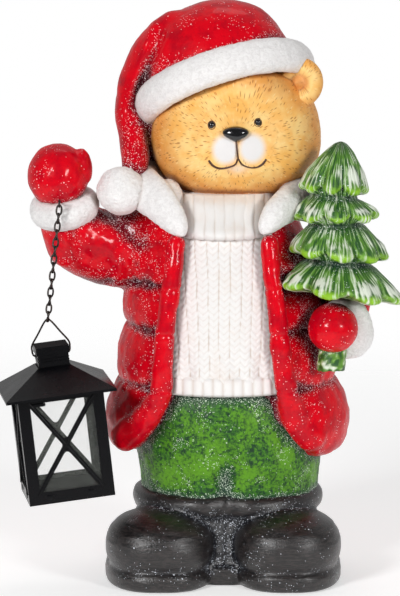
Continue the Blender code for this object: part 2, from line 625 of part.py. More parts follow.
def lantern(last_link_low):
    """Sheet-metal lantern under its wire bail, hooked in the last link; gives its pieces and their pivot."""
    frame = Matrix.Rotation(LANTERN_YAW, 4, "Z") @ Matrix.Rotation(-LANTERN_LEAN, 4, "Y")
    hook_rise = WIRE_RADIUS + BAIL_WIRE_RADIUS + HOOK_PLAY
    apex = Vector(last_link_low) + Vector((0, 0, hook_rise))
    pivot_place = apex - frame.to_3x3() @ Vector((0, 0, BAIL_HEIGHT))
    pivot = bpy.data.objects.new("bail_pivot", None)
    bpy.context.scene.collection.objects.link(pivot)
    pivot.matrix_world = Matrix.Translation(pivot_place) @ frame

    half = LANTERN_WIDTH / 2
    chimney_half = CHIMNEY_WIDTH / 2
    eave_half = half + EAVE_OVERHANG
    roof_top = ROOF_RISE - EAVE_DROP
    under = SHEET * 1.3
    rise = ROOF_RISE / (eave_half - SHEET - chimney_half - CAP_RIM)
    frame_top = roof_top - under - rise * (half - chimney_half - CAP_RIM) - 1.5 * SEAM
    floor_top = -FRAME_DROP + FLOOR_LIFT
    inside = half - SHEET

    shell = square_lathe("lantern_frame", [
        (half, frame_top), (half, -FRAME_DROP), (inside, -FRAME_DROP), (inside, floor_top - SHEET),
        (0, floor_top - SHEET), (0, floor_top), (inside, floor_top), (inside, frame_top)], "lantern")
    low, high = -FRAME_DROP + BOTTOM_RAIL, -EAVE_DROP - TOP_RAIL / 2
    for number, outline in enumerate(windows(half, low, high)):
        for turned in (False, True):
            cut(shell, prism(f"window_{number}_{'side' if turned else 'front'}", outline, half * 1.2, turned))

    vent = chimney_half - 2 * SHEET
    roof = square_lathe("lantern_roof", [
        (vent, roof_top), (chimney_half + CAP_RIM, roof_top), (eave_half, -EAVE_DROP),
        (eave_half, -EAVE_DROP - EAVE_LIP), (eave_half - SHEET, -EAVE_DROP - EAVE_LIP),
        (eave_half - SHEET, -EAVE_DROP - under), (chimney_half + CAP_RIM, roof_top - under),
        (vent, roof_top - under)], "lantern")

    top, rim = CHIMNEY_ABOVE_PIVOT, chimney_half + CAP_RIM
    chimney = square_lathe("lantern_chimney", [
        (0, top), (rim, top), (rim, top - CAP_RIM_HEIGHT), (chimney_half, top - CAP_RIM_HEIGHT),
        (chimney_half, roof_top + SEAM), (chimney_half - SHEET, roof_top + SEAM),
        (chimney_half - SHEET, top - SHEET), (0, top - SHEET)], "lantern")
    reach = chimney_half + 3 * CAP_RIM
    verts, faces = rod(((-reach, 0, 0), (reach, 0, 0)), BAIL_WIRE_RADIUS + BAIL_CLEARANCE, 12)
    holes = piece("bail_holes", verts, faces, "lantern")
    cut(chimney, holes)

    panes = []
    low, high = floor_top + SEAM, frame_top - SEAM
    across = inside - SEAM
    for name, turned, sign in (("front", 0, -1), ("back", 0, 1), ("left", 1, -1), ("right", 1, 1)):
        wide = across - GLASS - SEAM if turned else across
        near, far = sign * (across - GLASS), sign * across
        outline = ((-wide, near), (wide, near), (wide, far), (-wide, far))
        corners = [(x, y, z) for z in (low, high) for x, y in outline]
        if turned:
            corners = [(y, x, z) for x, y, z in corners]
        sides = [(0, 1, 2, 3), (4, 5, 6, 7), (0, 1, 5, 4), (1, 2, 6, 5), (2, 3, 7, 6), (3, 0, 4, 7)]
        panes.append(piece(f"lantern_glass_{name}", corners, sides, "glass", smooth=False))

    shoulder = chimney_half + CAP_RIM + 2.6 * BAIL_WIRE_RADIUS
    hook = chimney_half - SHEET - BAIL_GRIP
    past_cap = np.array((shoulder - BAIL_WIRE_RADIUS / 2, top + BAIL_WIRE_RADIUS))
    near_apex = np.array((4 * BAIL_WIRE_RADIUS, BAIL_HEIGHT - 3 * BAIL_WIRE_RADIUS))
    half_bail = [(hook, 0), (chimney_half + CAP_RIM, 0),
                 (shoulder - BAIL_WIRE_RADIUS / 2, 2 * BAIL_WIRE_RADIUS), (shoulder, top / 2),
                 tuple(past_cap), tuple((past_cap + near_apex) / 2), tuple(near_apex)]
    route = [(-x, z) for x, z in half_bail] + [(0, BAIL_HEIGHT)] + half_bail[::-1]
    keys = [(x, 0, z, BAIL_WIRE_RADIUS, BAIL_WIRE_RADIUS) for x, z in route]
    verts, faces = tube(keys, away=(0, 9.0, 0), rows=44, sides=6)
    bail = piece("lantern_bail", verts, faces, "chain")

    guides = [m.object for made in (shell, chimney) for m in made.modifiers]
    for made in (shell, roof, chimney, bail, *panes, *guides):
        made.parent = pivot


for old in list(bpy.data.objects):
    bpy.data.objects.remove(old, do_unlink=True)

casting = figure()
eye_centre = hand_eye(casting)
lantern(chain(eye_centre))
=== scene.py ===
import json
import math

import bmesh
import bpy
import numpy as np
from mathutils import Matrix, Vector
from mathutils.bvhtree import BVHTree


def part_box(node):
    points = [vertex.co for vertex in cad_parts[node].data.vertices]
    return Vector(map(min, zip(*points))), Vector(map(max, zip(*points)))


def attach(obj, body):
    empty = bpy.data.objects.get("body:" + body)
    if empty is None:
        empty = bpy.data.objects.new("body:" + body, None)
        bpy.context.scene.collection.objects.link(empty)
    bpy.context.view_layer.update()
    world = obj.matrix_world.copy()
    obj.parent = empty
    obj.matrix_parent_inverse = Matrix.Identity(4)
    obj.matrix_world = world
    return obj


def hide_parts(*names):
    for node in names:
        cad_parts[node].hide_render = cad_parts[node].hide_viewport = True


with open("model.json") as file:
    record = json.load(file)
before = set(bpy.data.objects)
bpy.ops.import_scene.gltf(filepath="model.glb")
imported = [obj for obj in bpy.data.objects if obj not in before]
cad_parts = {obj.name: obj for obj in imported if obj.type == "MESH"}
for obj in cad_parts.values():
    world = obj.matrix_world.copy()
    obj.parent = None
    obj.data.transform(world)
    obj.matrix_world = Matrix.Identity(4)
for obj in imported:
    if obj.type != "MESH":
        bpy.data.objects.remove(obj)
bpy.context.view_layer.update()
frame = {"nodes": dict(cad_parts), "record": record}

# The forms are in millimetres, with the bear looking along -Y. Pieces are made in metres.
# DETAIL thins the meshes, whose rings, sides and voxels are given for a detail of 1.

MM = 0.001
DETAIL = 0.72
RNG = np.random.default_rng(12)


# Shader maths

def srgb(red, green, blue):
    """Linear colour from the 0 to 255 values seen on a screen."""
    return tuple(((c / 255 + 0.055) / 1.055) ** 2.4 if c > 10 else c / 3295 for c in (red, green, blue))


class Wire:
    """A shader value. Arithmetic on it adds Math nodes."""

    def __init__(self, paint, socket):
        self.paint = paint
        self.socket = socket

    def maths(self, operation, *values):
        return self.paint.node("ShaderNodeMath", {"operation": operation}, dict(enumerate(values)))

    def __add__(self, other):
        return self.maths("ADD", self, other)

    def __sub__(self, other):
        return self.maths("SUBTRACT", self, other)

    def __rsub__(self, other):
        return self.maths("SUBTRACT", other, self)

    def __mul__(self, other):
        return self.maths("MULTIPLY", self, other)

    def __lt__(self, other):
        return self.maths("LESS_THAN", self, other)

    __radd__ = __add__
    __rmul__ = __mul__

    def rise(self, low, high):
        """Smooth climb from 0 at low to 1 at high."""
        return self.paint.node("ShaderNodeMapRange", {"interpolation_type": "SMOOTHSTEP"},
                               {"Value": self, "From Min": low, "From Max": high})

    def twin(self, name):
        """Another output of the same node."""
        return Wire(self.paint, self.socket.node.outputs[name])


class Paint:
    """A material under construction."""

    def __init__(self, name):
        self.material = bpy.data.materials.new(name)
        self.material.use_nodes = True
        self.tree = self.material.node_tree
        self.shader = self.tree.nodes["Principled BSDF"]
        self.place = self.node("ShaderNodeTexCoord", out="Object")

    def node(self, kind, settings=None, values=None, out=0):
        made = self.tree.nodes.new(kind)
        for name, value in (settings or {}).items():
            setattr(made, name, value)
        for name, value in (values or {}).items():
            self.feed(made.inputs[name], value)
        return Wire(self, made.outputs[out])

    def feed(self, socket, value):
        if isinstance(value, Wire):
            self.tree.links.new(value.socket, socket)
        elif socket.type == "RGBA":
            socket.default_value = (*value, 1)
        else:
            socket.default_value = value

    def noise(self, size, detail=3.0, roughness=0.55, stretch=(1, 1, 1), warp=0.0):
        """Noise from 0 to 1 whose waves are about size millimetres."""
        spot = self.node("ShaderNodeVectorMath", {"operation": "MULTIPLY"}, {0: self.place, 1: stretch})
        return self.node("ShaderNodeTexNoise", None, {
            "Vector": spot, "Scale": 1 / (size * MM), "Detail": detail, "Roughness": roughness,
            "Distortion": warp})

    def cells(self, size, spread=1.0, over=None):
        """Distance to the nearest scattered spot; twin('Color') is random for each spot."""
        return self.node("ShaderNodeTexVoronoi", None, {
            "Vector": over or self.place, "Scale": 1 / (size * MM), "Randomness": spread}, "Distance")

    def chance(self, spots):
        """A random number from 0 to 1 for each scattered spot."""
        return self.node("ShaderNodeSeparateColor", None, {"Color": spots.twin("Color")}, "Red")

    def mark(self, name):
        """A value stored on the mesh's points."""
        return self.node("ShaderNodeAttribute", {"attribute_name": name}, out="Fac")

    def flow(self, name):
        """A direction or bent place stored on the mesh's points."""
        return self.node("ShaderNodeAttribute", {"attribute_name": name}, out="Vector")

    def mix(self, share, first, second):
        made = self.node("ShaderNodeMix", {"data_type": "RGBA"}, None, 2)
        for index, value in ((0, share), (6, first), (7, second)):
            self.feed(made.socket.node.inputs[index], value)
        return made

    def sunk(self, colour, low, high, share, tint):
        """The colour with painted shade where the surface lies in a recess."""
        return self.mix(self.mark("recess").rise(low, high) * share, colour, srgb(*tint))

    def frost(self, colour, rough, amount, tint=(255, 226, 230)):
        """White specks of frost in two sizes, thickest in drifts and in the wide recess and seam marks that
        also carry painted shade.
        """
        gather = (self.mark("dust") + self.mark("seam") * 0.6).rise(0.08, 0.60)
        drift = gather * 0.55 + self.noise(17, 3).rise(0.50, 0.76) * 0.42
        for size, share in ((1.0, 0.80), (1.8, 0.22)):
            spots = self.cells(size)
            chance = self.chance(spots)
            speck = (chance < (drift * share + 0.006) * amount) * (1 - spots.rise(0.18, 0.46))
            colour = self.mix(speck * 0.85, colour, srgb(*tint))
            rough = rough + speck * 0.2
        return colour, rough

    def finish(self, colour, rough, height=None, depth=0.3, **varied):
        """Wire the shader; depth is the height of the bump in millimetres."""
        self.feed(self.shader.inputs["Base Color"], colour)
        self.feed(self.shader.inputs["Roughness"], rough)
        if height is not None:
            normal = self.node("ShaderNodeBump", None, {"Height": height, "Distance": depth * MM})
            self.feed(self.shader.inputs["Normal"], normal)
        self.uniform(**varied)
        return self.material

    def uniform(self, **values):
        """Set inputs of the shader by name, with underscores for the spaces."""
        for name, value in values.items():
            self.feed(self.shader.inputs[name.replace("_", " ")], value)


# Finishes

def red_enamel(name):
    """Glossy red, brushed crimson in patches, painted wine shade in the folds, with frost."""
    paint = Paint(name)
    patch = paint.noise(15, 4).rise(0.40, 0.70)
    colour = paint.mix(patch, srgb(220, 0, 24), srgb(186, 0, 26))
    colour = paint.mix(paint.noise(3.2, 3).rise(0.52, 0.76) * 0.40, colour, srgb(146, 0, 24))
    # Painted wine shade where the wide recess and seam marks gather, broken by noise.
    shade_gather = paint.mark("dust") + paint.mark("seam") * 0.75
    painted_wine_shade = (shade_gather + (paint.noise(6, 4, 0.65) - 0.5) * 0.6).rise(0.24, 0.95)
    colour = paint.mix(painted_wine_shade * 0.90, colour, srgb(84, 4, 22))
    # Painted near-black shade deep in the recesses.
    colour = paint.sunk(colour, 0.40, 0.90, 0.80, (52, 6, 20))
    colour, rough = paint.frost(colour, paint.noise(4, 2) * 0.20 + 0.32, 1.15)
    height = paint.noise(3.4, 3) + paint.noise(1.3, 2) * 0.30
    paint.uniform(Specular_IOR_Level=0.05, Coat_Roughness=0.13)
    return paint.finish(colour, rough, height, 0.42, Coat_Weight=0.34)


def plush(name):
    """Matt white pile in short curls, with painted warm grey shade between them."""
    paint = Paint(name)
    curl = paint.noise(3.4, 4, 0.6, warp=1.2)
    colour = paint.mix(curl.rise(0.34, 0.60), srgb(232, 229, 228), srgb(244, 242, 241))
    # Painted warm grey shade in the recesses.
    colour = paint.sunk(colour, 0.20, 0.85, 0.80, (168, 148, 138))
    paint.uniform(Specular_IOR_Level=0.3)
    strand = paint.noise(5.0, 3, 0.6, stretch=(0.8, 0.8, 2.6), warp=0.8)
    return paint.finish(colour, 0.70, curl + strand * 1.4, 0.55)


def knitting(name):
    """Off-white knit with painted beige shade in the recesses."""
    paint = Paint(name)
    # Painted beige shade in the lines between the stitch columns and in the stitches' troughs.
    colour = paint.mix(paint.mark("stitch").rise(-0.30, 0.80), srgb(198, 178, 164), srgb(236, 234, 232))
    colour = paint.mix(paint.noise(22, 3).rise(0.52, 0.76) * 0.30, colour, srgb(226, 210, 198))
    # Painted beige shade deep in the recesses.
    colour = paint.sunk(colour, 0.40, 1.00, 0.34, (200, 172, 154))
    paint.uniform(Specular_IOR_Level=0.35)
    return paint.finish(colour, 0.58, paint.noise(1.0, 3), 0.25)


def bear_fur(name):
    """Golden fur: dark and pale dashes from the face outwards, white round the mouth, painted darker shade
    towards the rim and in the recesses.
    """
    paint = Paint(name)
    patch = paint.mark("patch")
    hair = paint.cells(1 / MM, 0.9, paint.flow("flow"))
    chance = paint.chance(hair)
    fine = (1 - hair.rise(0.14, 0.34)) * (1 - patch)
    dash = (chance < 0.70) * fine
    light = (1 - (chance < 0.76)) * fine
    colour = paint.mix(paint.noise(16, 3).rise(0.35, 0.68), srgb(250, 188, 98), srgb(255, 214, 138))
    # Painted darker orange shade towards the rim of the face and the ear.
    colour = paint.mix(paint.mark("edge").rise(0.30, 1.0) * 0.64, colour, srgb(228, 144, 62))
    colour = paint.mix(light * 0.55, colour, srgb(255, 228, 172))
    colour = paint.mix(dash * 0.70, colour, srgb(170, 92, 34))
    colour = paint.mix(paint.mark("blush") * 0.6, colour, srgb(214, 122, 60))
    # Painted brown shade in the recesses.
    colour = paint.sunk(colour, 0.28, 0.90, 0.75, (140, 70, 24))
    colour = paint.mix(patch, colour, srgb(233, 230, 229))
    paint.uniform(Specular_IOR_Level=0.3)
    return paint.finish(colour, 0.46, paint.noise(1.3, 3) * 0.5 - dash, 0.25)


def black_gloss(name):
    """Painted black with a wet shine, for eyes and nose."""
    paint = Paint(name)
    cloud = paint.noise(4, 2)
    paint.uniform(Coat_Roughness=0.06)
    return paint.finish(paint.mix(cloud, srgb(6, 6, 8), srgb(20, 20, 24)), cloud * 0.1 + 0.12,
                        cloud, 0.05, Coat_Weight=0.6)


def brown_line(name):
    """Dark brown brush line of the mouth."""
    paint = Paint(name)
    return paint.finish(paint.mix(paint.noise(2.5, 2), srgb(48, 24, 10), srgb(98, 54, 28)), 0.45)


def fir_green(name):
    """Needles in dark, mid and lime green, with painted shade under each tier and in the recesses, and
    brushed snow on the top of each lobe; the lime is a painted highlight on the rims.
    """
    paint = Paint(name)
    needle = paint.mark("needle")
    drift = paint.noise(8, 4)
    colour = paint.mix(needle.rise(0.15, 0.80), srgb(36, 84, 34), srgb(112, 166, 54))
    colour = paint.mix(paint.mark("shade") * 0.70, colour, srgb(30, 72, 36))
    # Painted lime highlight on the tiers' rims, broken by noise.
    lime = (paint.mark("rim") + drift * 0.8).rise(1.05, 1.45)
    colour = paint.mix(lime * 0.85, colour, srgb(150, 206, 34))
    patch = paint.noise(26, 2).rise(0.34, 0.62)
    snow = (paint.mark("snow") * patch + (drift - 0.5) * 1.1 + (needle - 0.5) * 1.5).rise(0.06, 0.88)
    colour = paint.mix(snow * 0.92, colour, srgb(232, 238, 224))
    # Painted dark shade deep in the recesses.
    colour = paint.sunk(colour, 0.30, 0.80, 0.92, (18, 52, 36))
    colour, rough = paint.frost(colour, paint.noise(4, 2) * 0.2 + 0.28, 0.60, (236, 246, 240))
    paint.uniform(Coat_Roughness=0.18, Specular_IOR_Level=0.35)
    return paint.finish(colour, rough, needle * 1.2 + paint.noise(1.4, 3), 0.45, Coat_Weight=0.15)


def trouser_green(name):
    """Finely mottled green cloth, lime as a painted highlight where it stands out and painted shade in the
    folds, frosted all over.
    """
    paint = Paint(name)
    dab = paint.noise(3.0, 4, 0.70)
    broad = paint.noise(26, 2)
    colour = paint.mix(dab.rise(0.36, 0.62), srgb(14, 52, 28), srgb(54, 112, 26))
    # Lime in broad random patches, also a painted highlight kept out of the wide recesses.
    sunny = (broad * 1.1 + dab * 1.1 - paint.mark("dust") * 0.9).rise(0.90, 1.32)
    colour = paint.mix(sunny * 0.66, colour, srgb(104, 166, 20))
    shadow = (paint.mark("dust") + (dab - 0.5) * 0.7).rise(0.16, 0.66)
    colour = paint.mix(shadow * 0.85, colour, srgb(22, 54, 42))
    # Painted darkest shade deep in the recesses.
    colour = paint.sunk(colour, 0.40, 0.90, 0.85, (12, 30, 26))
    colour, rough = paint.frost(colour, paint.noise(5, 2) * 0.2 + 0.34, 2.2, (222, 238, 216))
    paint.uniform(Specular_IOR_Level=0.3)
    return paint.finish(colour, rough, paint.noise(2.2, 4) + paint.noise(7, 2) * 0.5, 0.55)


def boot_black(name):
    """Charcoal leather brushed in level strokes, with painted shadow and frost in the gaps."""
    paint = Paint(name)
    brush = paint.noise(2.0, 4, 0.65, stretch=(0.30, 0.30, 1.6))
    colour = paint.mix(brush.rise(0.36, 0.72), srgb(10, 9, 10), srgb(52, 45, 44))
    shadow = (paint.mark("dust") + (brush - 0.5) * 0.3).rise(0.12, 0.50)
    colour = paint.mix(shadow * 0.92, colour, srgb(8, 10, 19))
    colour, rough = paint.frost(colour, brush * 0.18 + 0.25, 0.80, (226, 232, 242))
    paint.uniform(Coat_Roughness=0.30, Specular_IOR_Level=0.62)
    return paint.finish(colour, rough, brush * 0.6 + paint.noise(1.6, 3), 0.40, Coat_Weight=0.12)


def black_sheet(name):
    """Satin black enamel on thin sheet metal, with rubbed specks, duller on level faces."""
    paint = Paint(name)
    cloud = paint.noise(18, 3)
    colour = paint.mix(cloud, srgb(4, 4, 6), srgb(11, 11, 14))
    colour = paint.mix(paint.noise(1.2, 2).rise(0.66, 0.78) * 0.30, colour, srgb(40, 40, 46))
    height = paint.noise(1.6, 3) + cloud * 0.6
    paint.uniform(Specular_IOR_Level=0.16)
    up = paint.node("ShaderNodeSeparateXYZ", None, {0: paint.node("ShaderNodeTexCoord", out="Normal")}, "Z")
    return paint.finish(colour, cloud * 0.14 + 0.20 + up.rise(0.93, 0.98) * 0.5, height, 0.05)


def dark_wire(name):
    """Gunmetal wire with browner, duller spots."""
    paint = Paint(name)
    spot = paint.noise(1.4, 3).rise(0.40, 0.70)
    colour = paint.mix(spot, srgb(44, 42, 42), srgb(92, 84, 78))
    paint.uniform(Metallic=0.85)
    return paint.finish(colour, spot * 0.25 + 0.28, paint.noise(0.6, 2), 0.05)


def clear_pane(name):
    """Thin clear glass with faint dust."""
    paint = Paint(name)
    dust = paint.noise(7, 4)
    paint.uniform(IOR=1.45)
    return paint.finish(paint.mix(dust, srgb(150, 156, 150), srgb(196, 200, 192)), dust * 0.05 + 0.03,
                        Alpha=dust * 0.04 + 0.035)


# Light

LIGHTS = (
    ("key", (-1.3, -2.0, 1.15), 0.55, 37),
    ("fill", (1.5, -1.9, 0.90), 0.50, 24),
    ("top", (0.2, 0.6, 2.2), 1.0, 5),
)
LIGHTS_AIM = (0, 0, 0.25)
FRONT_LIGHT = 0.12
BACKDROP_LIGHT = 0.48
SURROUND_SEEN = 1.0
FLOOR_GLOW = 0.40
CAMERA_AT = (-0.02098, -2.96705, 0.68423)
CAMERA_DROP = 8.5
CAMERA_LENS = 207.26


# Mesh forms, as in the solids

def dense(count):
    """A number of rings or sides, thinned."""
    return int(count * DETAIL)


def circle(count):
    """Angles once round."""
    return np.linspace(0, 2 * math.pi, count, endpoint=False)


def curve(keys, count):
    """Smooth curve through rows of numbers, as a Catmull-Rom spline with eased ends."""
    keys = np.array(keys, float)
    padded = np.vstack([2 * keys[0] - keys[1], keys, 2 * keys[-1] - keys[-2]])
    t = np.linspace(0, len(keys) - 1, count)
    i = np.minimum(t.astype(int), len(keys) - 2)
    u = (t - i)[:, None]
    a, b, c, d = (padded[i + k] for k in range(4))
    return 0.5 * (2 * b + (c - a) * u + (2 * a - 5 * b + 4 * c - d) * u**2 + (3 * b - a - 3 * c + d) * u**3)


def skin(rings, closed=False, ends=None):
    """Points and faces over rings of points; ends are the two poles of an open run of rings."""
    rows, sides = rings.shape[:2]
    grid = np.arange(rows * sides).reshape(rows, sides)
    above = grid if closed else grid[:-1]
    below = np.roll(grid, -1, 0) if closed else grid[1:]
    quads = np.stack([above, np.roll(above, -1, 1), np.roll(below, -1, 1), below], -1).reshape(-1, 4)
    verts = rings.reshape(-1, 3)
    faces = [tuple(face) for face in quads.tolist()]
    if not closed:
        for pole, row in zip(ends, (grid[0], grid[-1])):
            verts = np.vstack([verts, pole])
            faces += [(a, b, len(verts) - 1) for a, b in zip(row.tolist(), np.roll(row, -1).tolist())]
    return verts, faces


def unit(vectors):
    return vectors / np.maximum(np.linalg.norm(vectors, axis=-1, keepdims=True), 1e-9)


def sections(path, wide, thick, away, closed, sides):
    """Elliptical sections across a path: thick points away from a place, wide lies across."""
    if closed:
        tangent = unit(np.roll(path, -1, 0) - np.roll(path, 1, 0))
    else:
        tangent = unit(np.gradient(path, axis=0))
    out = path - np.array(away)
    out = unit(out - (out * tangent).sum(1, keepdims=True) * tangent)
    across = np.cross(tangent, out)
    angle = circle(sides)[None, :, None]
    return (path[:, None] + across[:, None] * wide[:, None, None] * np.cos(angle)
            + out[:, None] * thick[:, None, None] * np.sin(angle))


FAR_BEHIND = (3.0, 900.0, 7.0)


def tube(keys, away=FAR_BEHIND, rows=60, sides=40):
    """Round-ended sweep; each key is x, y, z, half width, half thickness."""
    smooth = curve(keys, 400)
    steps = np.linalg.norm(np.diff(smooth[:, :3], axis=0), axis=1)
    length = np.concatenate([[0], np.cumsum(steps)])
    along = length[-1] * (1 - np.cos(np.linspace(0, math.pi, rows + 2))) / 2
    along[0] = along[1] * 0.03
    along[-1] = length[-1] - along[0]
    x, y, z, wide, thick = (np.interp(along, length, smooth[:, k]) for k in range(5))
    near_end = np.minimum(along, length[-1] - along)
    cap = np.sqrt(1 - np.clip(1 - near_end / ((wide + thick) / 2), 0, 1) ** 2)
    rings = sections(np.stack([x, y, z], 1), wide * cap, thick * cap, away, False, sides)
    return skin(rings, False, (smooth[0, :3], smooth[-1, :3]))


def hoop(path, wide, thick, away, sides):
    """Closed sweep around a ring of points."""
    size = np.ones(len(path))
    return skin(sections(path, wide * size, thick * size, away, True, sides), True)


def ball(at, size, turn=(0, 0, 0), power=2.0, relief=None, rows=48, sides=64):
    """Super-ellipsoid; relief gives extra distance for unit directions."""
    lat = np.linspace(0, math.pi, rows + 2)[1:-1][:, None]
    lon = circle(sides)[None]
    way = np.stack([np.sin(lat) * np.cos(lon), np.sin(lat) * np.sin(lon), np.cos(lat) + 0 * lon], -1)
    poles = np.array([[0, 0, 1.0], [0, 0, -1.0]])

    def place(w):
        grown = w / (np.abs(w) ** power).sum(-1, keepdims=True) ** (1 / power)
        points = grown * np.array(size)
        if relief is not None:
            points = points + w * relief(w)[..., None]
        spin = np.array(Matrix.Rotation(math.radians(turn[2]), 3, "Z")
                        @ Matrix.Rotation(math.radians(turn[1]), 3, "Y")
                        @ Matrix.Rotation(math.radians(turn[0]), 3, "X"))
        return points @ spin.T + np.array(at)

    return skin(place(way), False, place(poles))


def stack(keys, relief=None, power=2.2, rows=80, sides=160, angles=None):
    """Level rings; each key is z, centre x, centre y, half width, half depth."""
    z, cx, cy, wide, deep = curve(keys, rows).T[..., None]
    angle = (circle(sides) if angles is None else angles)[None]
    c, s = np.cos(angle), np.sin(angle)
    grow = (np.abs(c) ** power + np.abs(s) ** power) ** (-1 / power)
    extra = relief(angle, z, cx + wide * grow * c, cy + deep * grow * s) if relief else 0.0
    rings = np.stack([cx + (wide + extra) * grow * c, cy + (deep + extra) * grow * s, z + 0 * angle], -1)
    return skin(rings, False, (rings[0].mean(0), rings[-1].mean(0)))


def bump(value, centre, spread):
    """Smooth bell from 1 to 0."""
    return np.exp(-((value - centre) / spread) ** 2)


def step(value, low, high):
    """Smooth rise from 0 at low to 1 at high."""
    t = np.clip((value - low) / (high - low), 0, 1)
    return t * t * (3 - 2 * t)


def grain(points, size, seed=0):
    """Smooth noise from -1 to 1 at points, in waves of the given size."""
    spot = np.asarray(points, float) / size
    cell = np.floor(spot).astype(np.int64)
    part = spot - cell
    part = part * part * (3 - 2 * part)
    total = np.zeros(len(spot))
    for corner in range(8):
        shift = np.array([corner & 1, corner >> 1 & 1, corner >> 2 & 1])
        x, y, z = (cell + shift + seed * 131).T
        mixed = (x * 73856093) ^ (y * 19349663) ^ (z * 83492791)
        mixed = (mixed ^ (mixed >> 13)) * 1274126177 & 0x7FFFFFFF
        weight = np.prod(np.where(shift, part, 1 - part), 1)
        total += weight * ((mixed >> 7 & 0xFFFF) / 32767.5 - 1)
    return total


# Pieces

def merge(forms):
    """Join closed forms into one run of points and faces."""
    verts, faces, start = [], [], 0
    for points, sides in forms:
        verts.append(points)
        faces += [tuple(v + start for v in side) for side in sides]
        start += len(points)
    return np.vstack(verts), faces


def piece(name, verts, faces, material, slot="bear_figure", body="figure"):
    """A smooth named object that rides on a body."""
    mesh = bpy.data.meshes.new(name)
    mesh.from_pydata((np.asarray(verts) * MM).tolist(), [], faces)
    bm = bmesh.new()
    bm.from_mesh(mesh)
    bmesh.ops.recalc_face_normals(bm, faces=bm.faces)
    bm.to_mesh(mesh)
    bm.free()
    mesh.shade_smooth()
    made = bpy.data.objects.new(name, mesh)
    bpy.context.scene.collection.objects.link(made)
    mesh.materials.append(material)
    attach(made, body)
    return made


def points_of(mesh):
    flat = np.empty(len(mesh.vertices) * 3)
    mesh.vertices.foreach_get("co", flat)
    return flat.reshape(-1, 3) / MM


def normals_of(mesh):
    flat = np.empty(len(mesh.vertices) * 3)
    mesh.vertices.foreach_get("normal", flat)
    return flat.reshape(-1, 3)


def set_points(mesh, points):
    mesh.vertices.foreach_set("co", (points * MM).ravel())
    mesh.update()


def neighbours(mesh):
    """Edge ends and the number of edges at each point."""
    flat = np.empty(len(mesh.edges) * 2, dtype=np.int32)
    mesh.edges.foreach_get("vertices", flat)
    ends = flat.reshape(-1, 2)
    return ends, np.maximum(np.bincount(ends.ravel(), minlength=len(mesh.vertices)), 1)


def relaxed(values, ends, degree, rounds):
    """Values on the points, evened out over their neighbours."""
    values = np.array(values, float)
    columns = values if values.ndim == 2 else values[:, None]
    for _ in range(rounds):
        sums = np.stack([np.bincount(ends[:, 0], columns[ends[:, 1], k], len(columns))
                         + np.bincount(ends[:, 1], columns[ends[:, 0], k], len(columns))
                         for k in range(columns.shape[1])], 1)
        columns = 0.5 * columns + 0.5 * sums / degree[:, None]
    return columns if values.ndim == 2 else columns[:, 0]


def fuse(made, voxel, rounds):
    """Melt the overlapping forms of a piece into one skin and even it out."""
    melt = made.modifiers.new("fuse", "REMESH")
    melt.mode = "VOXEL"
    melt.voxel_size = voxel * MM / DETAIL
    mesh = bpy.data.meshes.new_from_object(made.evaluated_get(bpy.context.evaluated_depsgraph_get()))
    made.modifiers.clear()
    material = made.data.materials[0]
    made.data = mesh
    mesh.materials.clear()
    mesh.materials.append(material)
    ends, degree = neighbours(mesh)
    set_points(mesh, relaxed(points_of(mesh), ends, degree, rounds))
    mesh.shade_smooth()
    return made


def carve(made, relief):
    """Move each point of a piece along its normal by relief(points, normals), in millimetres."""
    mesh = made.data
    points, normals = points_of(mesh), normals_of(mesh)
    set_points(mesh, points + normals * relief(points, normals)[:, None])
    return made


def mark(made, name, values):
    """Store one value for each point."""
    store = made.data.attributes.new(name, "FLOAT", "POINT")
    store.data.foreach_set("value", np.clip(values, 0, 1).astype(np.float32))


# Settings of the painted shade in recesses: reach of the rays, spread of its wider mark, share of each
# piece's own hollows, rays at each point.
SHADE_REACH = 18.0
DUST_AND_SHADE_SPREAD = 60
FOLD_SHADE = {"coat": 0.6, "fir_tree": 0.25, "sweater_neck": 0.3}
RAYS = 14


def surroundings(made):
    """One search tree over all the painted pieces."""
    verts, faces, start = [], [], 0
    for one in made:
        mesh = one.data
        verts.append(points_of(mesh) * MM)
        faces += [[v + start for v in side.vertices] for side in mesh.polygons]
        start += len(mesh.vertices)
    return BVHTree.FromPolygons(np.vstack(verts).tolist(), faces)


def recess_shade_marks(made, tree, fold):
    """Store how far each point lies in a recess: shut in by other forms, or in a hollow of its own; the
    marks place painted shade and the frost's drifts.
    """
    mesh = made.data
    points, normals = points_of(mesh), normals_of(mesh)
    ends, degree = neighbours(mesh)
    way = unit(unit(RNG.normal(size=(len(points), RAYS, 3))) + normals[:, None] * 1.02)
    reach = SHADE_REACH * MM
    start = (points + normals * 0.5) * MM
    shut = np.zeros(len(points))
    for index, (spot, rays) in enumerate(zip(start.tolist(), way.tolist())):
        spot = Vector(spot)
        for ray in rays:
            found = tree.ray_cast(spot, ray, reach)[3]
            if found is not None:
                shut[index] += 1 - 0.75 * found / reach
    shut = relaxed(shut / RAYS, ends, degree, 4)
    near = relaxed(points, ends, degree, 2)
    far = relaxed(near, ends, degree, 20)
    hollow = np.clip(((far - near) * normals).sum(1), 0, None)
    recess = shut * 1.25 + hollow * 0.7 * fold - 0.08
    # The recess mark places painted shade deep in the recesses; the wider mark below spreads it out for
    # broad painted shade and the frost's drifts.
    mark(made, "recess", recess)
    mark(made, "dust", relaxed(np.clip(recess, 0, 1), ends, degree, int(DUST_AND_SHADE_SPREAD * DETAIL**2)) * 1.5)


PLUSH_CURL = 0.75


def plush_relief(points, normals):
    """Short curls of pile."""
    bent = points + 1.6 * np.stack([grain(points, 4.0, 1), grain(points, 4.0, 2), grain(points, 4.0, 3)], 1)
    return PLUSH_CURL * (1 - 2 * np.abs(grain(bent, 3.4, 4))) * 0.5 + 0.35 * grain(points, 9, 5)


# Head

